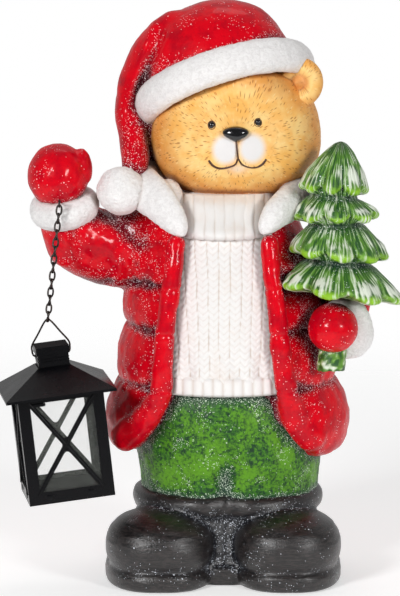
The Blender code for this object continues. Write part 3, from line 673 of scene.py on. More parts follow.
HEAD_AT = (10, 0, 381)
HEAD_SIZE = (74, 63, 60)
HEAD_POWER = 2.2
CROWN_LIFT = 8
MUZZLE_AT = (10, 374)
MUZZLE_SIZE = (30, 22)
MUZZLE_RISE = 6.0
CHEEKS = ((-31, 362), (51, 362))
CHEEK_SIZE = (22, 17)
CHEEK_RISE = 3.0
FACE_FRONT = -30
FUR_PARTING = (10, -60, 384)
PATCHES = ((0.6, 377.8), (23.4, 379.0))
PATCH_SIZE = (11.6, 13.0)
EAR_AT = (64.5, -22, 431)
EAR_SIZE = (20.5, 11, 22)
EAR_TURN = (0, 20, -12)
EYES = ((-11, 398.4), (28.3, 400.6))
EYE_SIZE = (2.9, 2.7, 3.3)
EYELID_REACH = (3.1, 3.5)
NOSE_AT = (9.3, 391.4)
NOSE_SIZE = (12.2, 6.5, 6.6)
STROKES = (
    ("bear_lip_line", [(9.6, 386.5, 0.60), (10.4, 378, 0.62), (11.4, 370.2, 0.70)]),
    ("bear_smile_left", [(11.4, 370.6, 0.7), (8, 364.8, 0.85), (-2.5, 361.8, 1.05), (-9.5, 364.0, 1.25),
                         (-13.6, 368.8, 1.05)]),
    ("bear_smile_right", [(11.4, 370.6, 0.7), (15.5, 365.0, 0.85), (24, 362.6, 1.05), (31, 364.8, 1.25),
                          (35.5, 369.8, 1.05)]),
)
DASH_WIDTH = 1.9
DASH_LENGTH = 9.5


def dome(x, z, at, size):
    """Smooth round rise from 0 to 1 at a place of the face."""
    return np.exp(-((x - at[0]) / size[0]) ** 2 - ((z - at[1]) / size[1]) ** 2)


def muzzle(x, z):
    """Rise of the muzzle and the two cheeks over the plain head."""
    rise = MUZZLE_RISE * dome(x, z, MUZZLE_AT, MUZZLE_SIZE)
    for cheek in CHEEKS:
        rise = rise + CHEEK_RISE * dome(x, z, cheek, CHEEK_SIZE)
    return rise


def head_depth(x, z):
    """Depth of the face under a place seen from the front."""
    dx = np.abs(x - HEAD_AT[0]) / HEAD_SIZE[0]
    dz = np.abs(z - HEAD_AT[2]) / (HEAD_SIZE[2] + np.where(z > HEAD_AT[2], CROWN_LIFT, -CROWN_LIFT))
    left = np.maximum(0, 1 - dx**HEAD_POWER - dz**HEAD_POWER)
    return -HEAD_SIZE[1] * left ** (1 / HEAD_POWER) - muzzle(x, z)


def fur(made, centre, seed):
    """Store the fur's direction, outwards from a centre; gives the height of its fine tufts."""
    points = points_of(made.data)
    off = points - np.array(centre)
    radius = np.linalg.norm(off[:, [0, 2]], axis=1) + np.maximum(off[:, 1] + 12, 0) * 0.9
    turn = np.arctan2(off[:, 2], off[:, 0]) + 0.06 * grain(points, 18, seed)
    band = 2.0 ** np.round(np.log2(np.maximum(radius * (1 + 0.16 * grain(points, 7, seed + 1)), 6)))
    around = np.stack([band * np.cos(turn), band * np.sin(turn)], 1) / DASH_WIDTH
    lie = np.column_stack([around, radius / DASH_LENGTH + 3.1 * np.log2(band)])
    store = made.data.attributes.new("flow", "FLOAT_VECTOR", "POINT")
    store.data.foreach_set("vector", lie.astype(np.float32).ravel())
    return grain(lie * (0.8, 0.8, 1.0), 1.0, seed + 2)


def head_grid(rows, sides):
    """Rings round the face's middle, so that the fur's relief runs outwards."""
    out = math.pi * np.linspace(0.004, 0.996, rows)[:, None] ** 1.2
    turn = circle(sides)[None]
    way = np.stack([np.sin(out) * np.cos(turn), -np.cos(out) + 0 * turn, np.sin(out) * np.sin(turn)], -1)
    poles = np.array([[0, -1.0, 0], [0, 1.0, 0]])

    def place(w):
        grown = w / (np.abs(w) ** HEAD_POWER).sum(-1, keepdims=True) ** (1 / HEAD_POWER)
        lift = CROWN_LIFT * np.sign(w[..., 2:]) * w[..., 2:] ** 2
        points = grown * np.array(HEAD_SIZE) + w * lift + np.array(HEAD_AT)
        front = step(-points[..., 1], 10, 40)
        points[..., 1] -= front * muzzle(points[..., 0], points[..., 2])
        brow = bump(points[..., 0], 30, 32) * step(points[..., 2], 416, 438)
        points[..., 1] -= 18 * brow * step(-points[..., 1], 0, 20)
        return points

    return skin(place(way), False, place(poles))


def bear_head(hair):
    """Head with the white patches of its muzzle and the furrow over its mouth."""
    head = piece("bear_head", *head_grid(dense(190), dense(480)), hair)
    points = points_of(head.data)
    x, y, z = points.T
    tuft = fur(head, FUR_PARTING, 3)
    patch = np.zeros(len(points))
    for patch_x, patch_z in PATCHES:
        spread = ((x - patch_x) / PATCH_SIZE[0]) ** 2 + ((z - patch_z) / PATCH_SIZE[1]) ** 2
        patch = np.maximum(patch, 1 - step(np.sqrt(spread), 0.62, 1.22))
    chin = bump(x, 11, 8) * bump(z, 361.5, 4) * 0.5
    patch = np.maximum(patch, chin) * (y < FACE_FRONT)
    middle = np.hypot((x - 11) / 78, (z - 388) / 58)
    # Painted darker shade towards the rim of the face.
    mark(head, "edge", step(middle, 0.35, 1.05) + 0.20 * grain(points, 9, 8))
    mark(head, "patch", patch)
    furrow = bump(x, 10.5, 1.6) * step(-z, -387, -384) * step(z, 368, 371) * (y < FACE_FRONT)
    return carve(head, lambda p, n: 0.16 * tuft * (1 - patch) + 0.35 * grain(p, 11, 6) - 1.5 * furrow)


def bear_ear(hair):
    """Round ear with a dished, blushed front."""
    def dish(w):
        front = step(-w[..., 1], 0.40, 0.75)
        rim = np.hypot(w[..., 0] * 0.95 + 0.05, w[..., 2] - 0.02)
        return -6.0 * front * (1 - step(rim, 0.40, 0.66)) + 3.6 * front * bump(rim, 0.0, 0.24)

    ear = piece("bear_ear", *ball(EAR_AT, EAR_SIZE, EAR_TURN, relief=dish, rows=110, sides=150), hair)
    x, y, z = points_of(ear.data).T
    tuft = fur(ear, (64, -36, 432), 7)
    rim = np.hypot(x - 65, z - 432)
    # Painted darker shade towards the ear's rim.
    mark(ear, "edge", step(rim, 9, 20) * 0.6 + 0.15)
    mark(ear, "blush", (1 - step(rim, 5.0, 8.5)) * (y < -14))
    return carve(ear, lambda p, n: 0.14 * tuft)


def bear_nose(gloss):
    """Nose that narrows downwards."""
    verts, faces = ball((0, 0, 0), NOSE_SIZE, power=2.2, rows=50, sides=70)
    lean = verts[:, 2] / NOSE_SIZE[2]
    verts[:, 0] *= 0.88 + 0.30 * lean - 0.30 * lean**2
    x, z = NOSE_AT
    at = np.array((x, head_depth(np.array(x), np.array(z)) - 1.2, z))
    return carve(piece("bear_nose", verts + at, faces, gloss), lambda p, n: 0.12 * grain(p, 4, 2))


def eyes(gloss, line):
    """Two eyes, each in a thin brown ring."""
    turn = circle(48)
    for number, (x, z) in enumerate(EYES):
        y = head_depth(np.array(x), np.array(z))
        piece(f"bear_eye_{number + 1}", *ball((x, y + 0.4, z), EYE_SIZE, rows=30, sides=40), gloss)
        wide, tall = EYELID_REACH
        ring = np.stack([x + wide * np.cos(turn), 0 * turn, z + tall * np.sin(turn)], 1)
        ring[:, 1] = head_depth(ring[:, 0], ring[:, 2]) - 0.05
        piece(f"bear_eyelid_{number + 1}", *hoop(ring, 0.45, 0.40, (x, y, z), 10), line)


def mouth(line):
    """Brush strokes under the nose, laid on the face."""
    for name, keys in STROKES:
        x, z, wide = curve(keys, 30).T
        path = np.stack([x, head_depth(x, z) + 0.15, z, wide, wide * 0.6], 1)
        piece(name, *tube(path, rows=60, sides=12), line)


# Hat

BAND_AT = (0.5, 0, 426.5)
BAND_REACH = (69.5, 57.5)
BAND_TURN = (-23, -17.3, 0)
BAND_PITCH, BAND_ROLL = -math.radians(BAND_TURN[0]), -math.radians(BAND_TURN[1])
BAND_SECTION = (15.3, 11)
CAP_AT = (-4, 6, 441)
CROWN_TUCK = 26
TAIL = ((-30, 0, 486, 10, 12), (-43, -4, 480, 13, 18), (-55.5, -4, 469, 14, 22), (-65, -2, 457, 14.5, 23),
        (-73, 2, 440, 15, 22), (-79, 5, 419, 15, 20), (-81, 2, 402, 14.5, 18), (-78.5, -12, 382, 13, 16),
        (-76.5, -28, 362.5, 12, 14), (-82, -40, 347, 9, 9))
POMPOM_AT = (-88.6, -45, 340.5)
POMPOM_RADIUS = 20.5


def band_path(count):
    """The tilted ring of the hat's band."""
    angle = circle(count)
    side = np.array([math.cos(BAND_ROLL), 0, math.sin(BAND_ROLL)])
    rise = np.array([-math.sin(BAND_ROLL), 0, math.cos(BAND_ROLL)])
    front = math.cos(BAND_PITCH) * np.array([0, -1, 0]) + math.sin(BAND_PITCH) * rise
    c, s = np.cos(angle)[:, None], np.sin(angle)[:, None]
    return np.array(BAND_AT) + BAND_REACH[0] * c * side + BAND_REACH[1] * s * front


def hat(red):
    """Crown, the roll behind the band and the hanging tail, in one skin."""
    def tuck_under(w):
        return -CROWN_TUCK * step(-w[..., 2], 0.33, 0.60)

    cap = piece("hat", *merge([
        ball((-8, 6, 445), (65, 60, 54), turn=BAND_TURN, power=2.1, relief=tuck_under),
        ball(CAP_AT, (66, 54, 22), turn=BAND_TURN),
        tube(TAIL, away=(0, 900, 430)),
        ball((-62, 8, 388), (12, 20, 34))]), red)
    fuse(cap, 1.1, 30)

    def folds(p, n):
        x, y, z = p.T
        line = x + 52.4 - 0.34 * (z - 483)
        front = step(-y, -12, 2) * step(z, 398, 425) * step(-z, -492, -474)
        groove = -2.8 * bump(line, 0, 4.8) + 1.4 * bump(line, -8, 3.4) + 0.8 * bump(line, 8, 3.5)
        return groove * front + 0.8 * grain(p, 16, 2) + 0.22 * grain(p, 5, 3)

    carve(cap, folds)
    x, y, z = points_of(cap.data).T
    # Painted shade and frost drifts on the hanging tail and the crown's right side.
    tail = step(-x, 52, 66) * step(-z, -430, -385)
    rear = step(x, 18, 52) * 0.6
    mark(cap, "seam", 0.48 * tail + rear)
    return cap


def hat_trim(pile):
    """Band and pompom."""
    band = piece("hat_band", *hoop(band_path(dense(400)), *BAND_SECTION, BAND_AT, dense(100)), pile)
    carve(band, plush_relief)
    tuft = ball(POMPOM_AT, (POMPOM_RADIUS,) * 3, rows=dense(130), sides=dense(190))
    pompom = piece("hat_pompom", *tuft, pile)
    carve(pompom, lambda p, n: plush_relief(p, n) * 1.4 + 0.9 * grain(p, 13, 9))
    return [band, pompom]


# Coat, sweater and collar

SEAMS = (108, 172, 221, 260, 296)
EDGE_HEIGHTS = (108, 127, 146, 168, 193, 235, 277, 305, 330)
LEFT_EDGE = (-92, -72, -56, -46, -44, -41, -36, -34, -30)
RIGHT_EDGE = (78, 63, 49, 45, 41, 37, 32, 30, 28)
KNIT_COLUMN = 9.4
STITCH = 5.6


def quilt(z):
    """Height of the padding between the seams, 0 in a seam and 1 on a roll."""
    full = np.zeros_like(z)
    for low, high in zip(SEAMS[:-1], SEAMS[1:]):
        inside = (z > low) & (z < high)
        full = np.where(inside, np.sqrt(np.abs(np.sin(math.pi * (z - low) / (high - low)))), full)
    return full


def sweater_front(z):
    """Half depth of the sweater."""
    return np.interp(z, (150, 170, 200, 240, 280, 310), (74, 80, 82, 80, 75, 68))


PLACKET = ((306, 8), (276, 8), (235, 8.5), (193, 9), (168, 10), (146, 12), (129, 13.5), (118, 11))
COAT_BODY = ((106, 3, 2, 90, 70), (112, 3, 2, 97, 78), (125, 3, 2, 99, 81), (145, 3, 2, 99, 82),
             (165, 3, 2, 95, 83), (185, 2, 2, 89, 84), (215, 1, 2, 84, 83), (250, 0, 2, 80, 79),
             (285, -1, 3, 76, 72), (312, -1, 4, 64, 62), (330, 0, 4, 44, 46))
RAISED_SLEEVE = ((-137, -32, 332, 23, 20), (-134, -28, 316, 29, 26), (-126, -24, 300, 31, 29),
                 (-107, -16, 290, 33, 31), (-80, -8, 287, 38, 35), (-45, 0, 282, 38, 38))
LOW_SLEEVE = ((58, 4, 286, 34, 34), (92, 2, 268, 28, 28), (106, -8, 246, 22, 24), (104, -34, 224, 19, 19))
SLEEVE_FOLDS = (
    (-138, -34, 300, 24, 16, 9, 40), (-124, -30, 288, 26, 16, 9, 55), (-108, -26, 283, 23, 16, 10, 75),
    (-92, -24, 277, 24, 17, 10, 95), (-144, -37, 305, 15, 15, 8, 60), (-132, -37, 295, 18, 16, 9, 40),
    (-114, -31, 290, 20, 17, 9, 50), (-97, -27, 294, 22, 18, 9, 75), (-78, -22, 292, 22, 20, 10, 90),
    (-58, -24, 292, 22, 20, 10, 95))


def padding(angle, z, x, y):
    """Quilting of the jacket's body, sunk in its opening and raised at the yoke behind."""
    low, high = np.interp(z, EDGE_HEIGHTS, LEFT_EDGE), np.interp(z, EDGE_HEIGHTS, RIGHT_EDGE)
    opening = step(x, low - 5, low + 1) * step(-x, -high - 5, -high + 1) * (y < 0)
    yoke = 12 * step(z, 288, 304) * step(y, 5, 40) * bump(x, 0, 55)
    return 7.5 * quilt(z) - (16 + 10 * step(-z, -142, -126)) * opening + yoke


def rolled_edge(side, edge):
    """Roll down one side of the opening."""
    keys = []
    for z, radius in PLACKET:
        x = np.interp(z, EDGE_HEIGHTS, edge) + side * (radius - 0.5)
        y = -(sweater_front(z) + 3.5) * (1 - abs(x / 100) ** 2.4) ** (1 / 2.2) - 1.5
        keys.append((x, y, z, radius, 8.5))
    return tube(keys, rows=120)


def coat_shade_and_frost(points):
    """Where painted shade and frost gather: in the seams, beside the rolled edges, in the raised sleeve's
    folds and under that sleeve.
    """
    x, y, z = points.T
    side = np.abs(x)
    panel = step(side, 52, 62) * step(-z, -300, -285) * (side < 125)
    quilting = sum(bump(z + 2 * grain(points, 16, 4), seam, 4.5) for seam in SEAMS[1:-1]) * panel
    edge = bump(side, 66, 9) * step(-z, -300, -280) * step(z, 150, 175) * (y < -20)
    valley = bump(x + 90 + 0.75 * (z - 312), 0, 16) * step(z, 282, 300)
    under = step(-z, -292, -268) * step(-x, 84, 100) * step(z, 225, 250)
    return 0.55 * quilting + 0.34 * edge + 0.85 * valley + 0.50 * under


def stitching(points, normals):
    """Stitched seams with their puckers, and the raised sleeve's folds."""
    x, y, z = points.T
    body = step(-np.abs(x), -106, -98) * step(-z, -300, -290)
    seam = sum(bump(z, at, 1.5) for at in SEAMS[1:-1]) * body
    near = sum(bump(z, at, 9) for at in SEAMS[1:-1]) * body
    pucker = np.cos(np.arctan2(y, x) * 34 + 2 * grain(points, 20, 7))
    sleeve = step(-x, 62, 74) * step(z, 268, 280) * step(-y, -5, 20)
    valley = bump(x + 90 + 0.75 * (z - 312) + 4 * grain(points, 18, 8), 0, 7) * step(z, 285, 305)
    rolls = grain(np.stack([x + 0.45 * z, y * 0.6, 0.35 * z], 1), 8, 9)
    return (0.8 * grain(points, 10, 2) + 0.25 * grain(points, 4.2, 3) - seam + 0.5 * near * pucker
            + sleeve * (3.0 * rolls - 4.0 * valley))


def coat(red):
    """Open quilted jacket with rolled edges, both sleeves and their folds."""
    forms = [stack(COAT_BODY, padding, rows=170, sides=280), rolled_edge(-1, LEFT_EDGE),
             rolled_edge(1, RIGHT_EDGE), tube(RAISED_SLEEVE)]
    for *at, length, deep, thick, lean in SLEEVE_FOLDS:
        forms.append(ball(at, (length, deep, thick), turn=(0, lean, 0)))
    forms.append(tube(LOW_SLEEVE))
    made = fuse(piece("coat", *merge(forms), red), 1.3, 3)
    # Painted shade and frost drifts in the seams, beside the rolled edges and round the raised sleeve.
    mark(made, "seam", coat_shade_and_frost(points_of(made.data)))
    return carve(made, stitching)


def knit(x, z):
    """Height of upright columns of slanting stitches, 0 in the lines between them and 1 on the yarn."""
    column = x / KNIT_COLUMN
    part = np.abs(column - np.round(column)) * 2
    slant = z / STITCH - part * 0.75
    wave = (0.5 + 0.5 * np.cos(2 * math.pi * slant)) ** 0.7
    return (0.42 + 0.58 * wave) * (1 - step(part, 0.84, 1.0)) * (0.80 + 0.20 * step(part, 0.0, 0.16))


def ribs(x, width):
    """Height of upright ribs, 0 in the gaps."""
    return np.sqrt(np.abs(np.sin(math.pi * x / width)))


FRONT_SHARE = 0.86
SWEATER_BODY = ((178, 0, 0, 78, 83), (184, 0, 0, 78, 82.5), (210, 0, 0, 77, 82), (250, 0, 0, 74, 79),
                (290, 0, 0, 66, 72), (320, 0, 0, 46, 58))
SWEATER_HEM = ((166.5, 0, 0, 74, 78), (169, 0, 0, 78, 83.6), (175, 0, 0, 79, 84.6),
               (181, 0, 0, 79, 84.4), (184, 0, 0, 77, 81))
SWEATER_NECK = ((300, -1, -2, 44, 66), (302.5, -1, -2, 50, 74), (308, -1, -2, 51, 75),
                (318, -1, -2, 50, 68), (330, -1, -2, 50, 60), (337, -1, -1, 47, 51))
COLLAR = (
    (-34, -74, 305, 4.5, 4.5), (-38.5, -73, 311.5, 9, 7), (-45, -69, 320, 13, 9),
    (-56, -58, 332, 16.5, 10.5), (-66, -42, 339, 18, 12), (-71, -15, 344, 17, 13), (-58, 14, 350, 15, 12),
    (-32, 36, 352, 14, 12), (0, 45, 352, 14, 12), (32, 36, 352, 14, 12), (57, 8, 348, 14, 12),
    (65, -18, 340, 14, 12), (57, -44, 331, 15, 11), (45.5, -63, 324, 13, 9.5), (37, -71, 315, 9.5, 7.5),
    (31, -74.5, 307, 4.5, 4.5))
CUFF_AT = (-137.5, -35, 325)
CUFF_REACH = 18.5
CUFF_SECTION = (12.5, 11.5)


def front_angles(count):
    """Angles round a ring, most of them over its front."""
    front = np.linspace(1.06 * math.pi, 1.94 * math.pi, int(count * FRONT_SHARE))
    back = np.linspace(-0.06 * math.pi, 1.06 * math.pi, count - len(front) + 2)[1:-1]
    return np.concatenate([front, back])


def sweater_pieces(knitwear):
    """Knitted body, ribbed hem and ribbed roll neck."""
    def knitted(name, keys, rows):
        return piece(name, *stack(keys, rows=dense(rows), angles=front_angles(dense(330))), knitwear)

    sweater = knitted("sweater", SWEATER_BODY, 230)
    points = points_of(sweater.data)
    x, y, z = points.T
    pleat = bump(z, 184, 16) * np.cos(2 * math.pi * x / 21)
    stitch = knit(x * (1 + 0.0016 * (250 - z)) + 0.8 * grain(points, 14, 1), z)
    # The stitch mark also lays painted beige shade in the lines between the stitches.
    mark(sweater, "stitch", stitch)
    carve(sweater, lambda p, n: 1.2 * (stitch - 0.6) + 1.3 * pleat + 0.5 * grain(p, 24, 4))
    hem = knitted("sweater_hem", SWEATER_HEM, 50)
    rib = ribs(points_of(hem.data)[:, 0] + 1.5, 8.6)
    mark(hem, "stitch", rib - 0.12)
    carve(hem, lambda p, n: 1.5 * (rib - 0.8) * step(p[:, 2], 167, 170))
    neck = knitted("sweater_neck", SWEATER_NECK, 110)
    points = points_of(neck.data)
    rib = ribs(points[:, 0] + 1.2 * grain(points, 16, 3), 8.8)
    mark(neck, "stitch", 0.25 + 0.75 * rib + 0.25 * grain(points, 13, 2))
    carve(neck, lambda p, n: 0.9 * (rib - 0.8))
    return [sweater, hem, neck]


def collar(pile):
    """Plush lapels and the roll behind the neck."""
    forms = [tube(COLLAR, (0, 0, 300), 160, 50), ball((-50, -40, 336), (14, 17, 14))]
    return carve(fuse(piece("coat_collar", *merge(forms), pile), 1.1, 2), plush_relief)


def cuffs(pile):
    """Tilted ring under the raised mitten and the turned-up end of the other sleeve."""
    angle = circle(dense(240))[:, None]
    wide, deep = np.array((0.99, 0, 0.14)), np.array((0, 0.95, 0.31))
    ring = np.array(CUFF_AT) + CUFF_REACH * np.cos(angle) * wide - CUFF_REACH * np.sin(angle) * deep
    raised = piece("cuff_raised", *hoop(ring, *CUFF_SECTION, np.array(CUFF_AT), dense(110)), pile)
    low = piece("cuff_tree", *ball((105, -50, 222), (22.5, 15, 26.5), (0, -15, 0), 2.3,
                                   rows=dense(110), sides=dense(160)), pile)
    return [carve(raised, plush_relief), carve(low, plush_relief)]


def mittens(red):
    """The two hands, each with its thumb."""
    hands = (("mitten_raised", [ball((-142.7, -40, 353), (26, 27, 27.5), power=2.1),
                                ball((-122, -42, 361), (9.0, 11, 16), (0, -8, 0))]),
             ("mitten_tree", [ball((92.5, -72, 226), (21.6, 24, 21.5)),
                              ball((84, -84, 222), (8, 8, 10), (0, 20, 0))]))
    made = []
    for name, forms in hands:
        hand = fuse(piece(name, *merge(forms), red), 1.1, 6)
        mark(hand, "seam", 0.10 + 0.30 * grain(points_of(hand.data), 13, 6))
        made.append(carve(hand, lambda p, n: 0.45 * grain(p, 8, 4) + 0.20 * grain(p, 3.5, 5)))
    return made


# Tree

TREE_AT = (99, -56)
TREE_TOP = 384
TREE_TIERS = ((350, 0, 29.5, -6, 4, -5), (326, 21, 37, -4, -1, 1), (294, 24, 42.5, -1, 5, 0),
              (262, 28, 55, 0, 8.5, -16))
TREE_LOBES = 8
LOBE_DEPTH = 0.19
TIER_BLUNT = (0.72, 0.25)
LOBE_DROP = 5.0
TIER_LIP = 3.2
TIER_GAP = 11
STUB_NECK = 14
TRUNK = ((188.5, 91, -66, 10, 10), (190, 91, -66, 12, 12), (200, 92, -66, 12, 12), (240, 95, -58, 10, 10))


def tree_rings(sides, rows):
    """Four tipped tiers with round lobes; gives rings, the run down each tier and the lobes' heights."""
    angle = circle(sides)
    rings, run, lobes = [], [], []
    top, shift, before = TREE_TOP, 0, 0

    def ring(radius, z, offset, slope, s, lobe):
        x = radius * np.cos(angle)
        rings.append(np.stack([offset + x, radius * np.sin(angle), z - slope * x], 1))
        run.append(s + 0 * angle)
        lobes.append(lobe + 0 * angle)

    for number, (rim_z, neck, rim, lean, tip, turn) in enumerate(TREE_TIERS):
        lobe = np.abs(np.cos(TREE_LOBES / 2 * (angle + math.pi / 2 - math.radians(turn))))
        tilt = math.tan(math.radians(tip))
        blunt = TIER_BLUNT[min(number, 1)]
        for s in np.linspace(0.0 if number else 0.004, 1, rows):
            flare = blunt * math.sqrt(s) + (1 - blunt) * s**1.2
            radius = (neck + (rim - neck) * flare) * (1 - LOBE_DEPTH * s**1.5 * (1 - lobe))
            z = top + (rim_z - top) * s - LOBE_DROP * s**3 * lobe
            ring(radius, z, shift + (lean - shift) * s, before + (tilt - before) * s, s, lobe)
        edge = rim * (1 - LOBE_DEPTH * (1 - lobe))
        for turn in np.linspace(0, math.pi / 2, 5)[1:]:
            z = rim_z - LOBE_DROP * lobe - TIER_LIP * math.sin(turn)
            ring(edge - TIER_LIP * (1 - math.cos(turn)), z, lean, tilt, 1.0, lobe)
        tuck = rim_z - TIER_GAP
        last = number + 1 == len(TREE_TIERS)
        for share in np.linspace(0, 1, 8)[1:]:
            inner = STUB_NECK if last else TREE_TIERS[number + 1][1] - 1
            under = (edge - TIER_LIP) * (1 - share) + inner * share
            z = (rim_z - LOBE_DROP * lobe - TIER_LIP) * (1 - share) + tuck * share
            ring(under, z, lean, tilt, 1.0 - share, lobe * (1 - share))
        top, shift, before = tuck - 3, lean, tilt
    return np.array(rings) + np.array((*TREE_AT, 0)), np.concatenate(run), np.concatenate(lobes)


def fir_tree(green):
    """Tiers with needles, rims and snow."""
    rings, run, lobe = tree_rings(dense(460), dense(42))
    made = piece("fir_tree", *skin(rings, False, (rings[0].mean(0), rings[-1].mean(0))), green)
    run, lobe = np.append(run, (0, 0)), np.append(lobe, (0, 0))
    points = points_of(made.data)
    x, y, z = points.T
    turn = np.arctan2(y - TREE_AT[1], x - TREE_AT[0])
    spot = np.stack([34 * np.cos(turn), 34 * np.sin(turn), z / 10 + 0.4 * grain(points, 9, 3)], 1)
    needle = 0.5 + 0.55 * grain(spot, 1.0, 5) + 0.30 * grain(spot, 0.5, 6)
    mark(made, "needle", needle)
    # The rim mark places a painted lime highlight on each tier's rim.
    mark(made, "rim", run**3 * (0.70 + 0.30 * lobe))
    mark(made, "snow", bump(run, 0.74, 0.20) * step(lobe, 0.20, 0.9))
    mark(made, "shade", 1 - step(run, 0.02, 0.42))
    pillow = 1.6 * bump(run, 0.80, 0.24) * (lobe**1.5 - 0.2)
    return carve(made, lambda p, n: run**0.5 * (0.8 * (needle - 0.5) + 0.9 * grain(p, 8, 7)) + pillow)


def fir_trunk(green):
    """Rough stub under the mitten."""
    stub = piece("fir_trunk", *stack(TRUNK, rows=40, sides=48), green)
    points = points_of(stub.data)
    mark(stub, "needle", 0.5 + 0.6 * grain(points, 3, 5))
    mark(stub, "snow", 0.35 + 0.4 * grain(points, 5, 6))
    return carve(stub, lambda p, n: 0.9 * grain(p, 3, 4))


# Trousers and boots

TROUSERS = ((56, 5, 0, 70, 62), (64, 5, 0, 74, 66), (72, 5.5, 0, 77, 69), (90, 5, 0, 79, 71),
            (108, 4.5, 0, 81, 74), (130, 3, 0, 80, 77), (160, 0, 0, 72, 76), (176, 0, 0, 60, 66))
BOOT_ROLL = ((56, 3.5, 0, 74, 63), (59, 3.5, 0, 81, 70), (65, 3.5, 0, 83.5, 74), (72, 3.5, 0, 82.5, 73.5),
             (77, 3.5, 0, 77, 69))
BOOT_SHAFT = ((6, 0, -6, 78, 64), (20, 0, -6, 80, 66), (40, 2, -4, 80, 65), (60, 3, 0, 78, 66))
SOLE_BRIDGE = ((0, 0, -8, 22, 62), (0.4, 0, -8, 24, 64), (14, 0, -8, 24, 64), (16, 0, -8, 22, 62))
TOES = ((-55.5, 47.5), (54.5, 47))


def crease(angle, z, x, y):
    """Furrow between the legs."""
    return -8 * bump(x, 1, 13) * step(-z, -145, -90)


def trousers(cloth):
    """Both legs of the trousers, with their drape."""
    legs = piece("trousers", *stack(TROUSERS, crease, rows=dense(130), sides=dense(420)), cloth)

    def folds(p, n):
        x, y, z = p.T
        drape = grain(p * (1, 1, 0.45), 13, 5)
        pull = bump(np.abs(x - 1) - 0.5 * (135 - z), 6, 5) * bump(z, 118, 20)
        return 1.3 * drape + 0.8 * pull + 0.5 * grain(p, 6, 3) + 0.3 * grain(p, 2.4, 4)

    return carve(legs, folds)


def boots(leather):
    """Rolled top, shaft, toes, heels and soles in one skin that stands flat."""
    forms = [stack(BOOT_ROLL, crease), stack(BOOT_SHAFT, crease)]
    for x, wide in TOES:
        forms.append(ball((x, -54, 34), (wide, 50, 31), power=2.3))
        forms.append(ball((x * 0.82, 28, 32), (36, 34, 30), power=2.4))
        edge = wide + 0.5
        sole = [(0, x, -26, edge - 4, 73), (0.4, x, -26, edge - 2, 75), (4, x, -26, edge, 77),
                (12.5, x, -26, edge, 77), (15.5, x, -26, edge - 2.5, 74.5)]
        forms.append(stack(sole, power=2.6))
    forms.append(stack(SOLE_BRIDGE, power=3.0))
    made = fuse(piece("boots", *merge(forms), leather), 1.3, 4)
    carve(made, lambda p, n: 0.35 * grain(p * (0.25, 0.25, 1.6), 4, 2) * step(p[:, 2], 1, 5))
    points = points_of(made.data)
    points[:, 2] = np.maximum(points[:, 2], 0)
    set_points(made.data, points)
    return made


# Chain and lantern

LINK_LEAN = math.radians(6.2)
LINK_REACH = (4.25, 2.15)
LINK_WIRE = 0.80
LINK_TWIST = math.radians(34)


def wires(metal):
    """Twisted round links in the places of the chain's plain ones."""
    down = np.array([-math.sin(LINK_LEAN), 0, -math.cos(LINK_LEAN)])
    across = np.array([math.cos(LINK_LEAN), 0, -math.sin(LINK_LEAN)])
    long, wide = LINK_REACH
    turn = circle(56)
    rounded = np.tanh(2.4 * np.sin(turn)) / np.tanh(2.4)
    along = wide * np.sin(turn) + (long - wide) * rounded
    side = wide * np.cos(turn)
    names = [name for name in frame["nodes"] if name.startswith("chain_link")]
    for number, name in enumerate(sorted(names)):
        low, high = (np.array(corner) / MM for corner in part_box(name))
        middle = (low + high) / 2
        flip = number % 2
        twist = (LINK_TWIST * along / long * (1 - 2 * flip) + flip * math.pi / 2)[:, None]
        way = np.cos(twist) * across + np.sin(twist) * np.array([0, 1.0, 0])
        path = middle + side[:, None] * way + along[:, None] * down
        link = piece(f"{name}_wire", *hoop(path, LINK_WIRE, LINK_WIRE, middle, 12), metal, "chain")
        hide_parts(name)


def lantern_place():
    """The lantern's own frame: its pivot and axes, from the joint in the record."""
    joint = frame["record"]["behaviour"]["joints"][0]
    across = Vector(joint["axis"]).normalized()
    depth = Vector((-across.y, across.x, 0)).normalized()
    turn = Matrix((across, depth, across.cross(depth))).transposed().to_4x4()
    return Matrix.Translation(joint["pos_m"]) @ turn


FRAME_HALF = 36.75
FRAME_POST = 10.0
BRACE_LOW, BRACE_HIGH = -111.0, -34.0
BRACE_OVERLAP = 1.06
BRACE_RIB = (0.85, 0.75)
TABS = ((-19, -115.6, 3.6, 2.0), (17, -115.6, 3.6, 2.0), (-20, -35.5, 6.5, 1.6))
CHIMNEY_LINES = (-1.2, -3.6)
CHIMNEY_HALF = 13.35
CORNERS = ((-1, -1), (1, -1), (1, 1), (-1, 1))
CHIMNEY_LINE_WIRE = 0.32


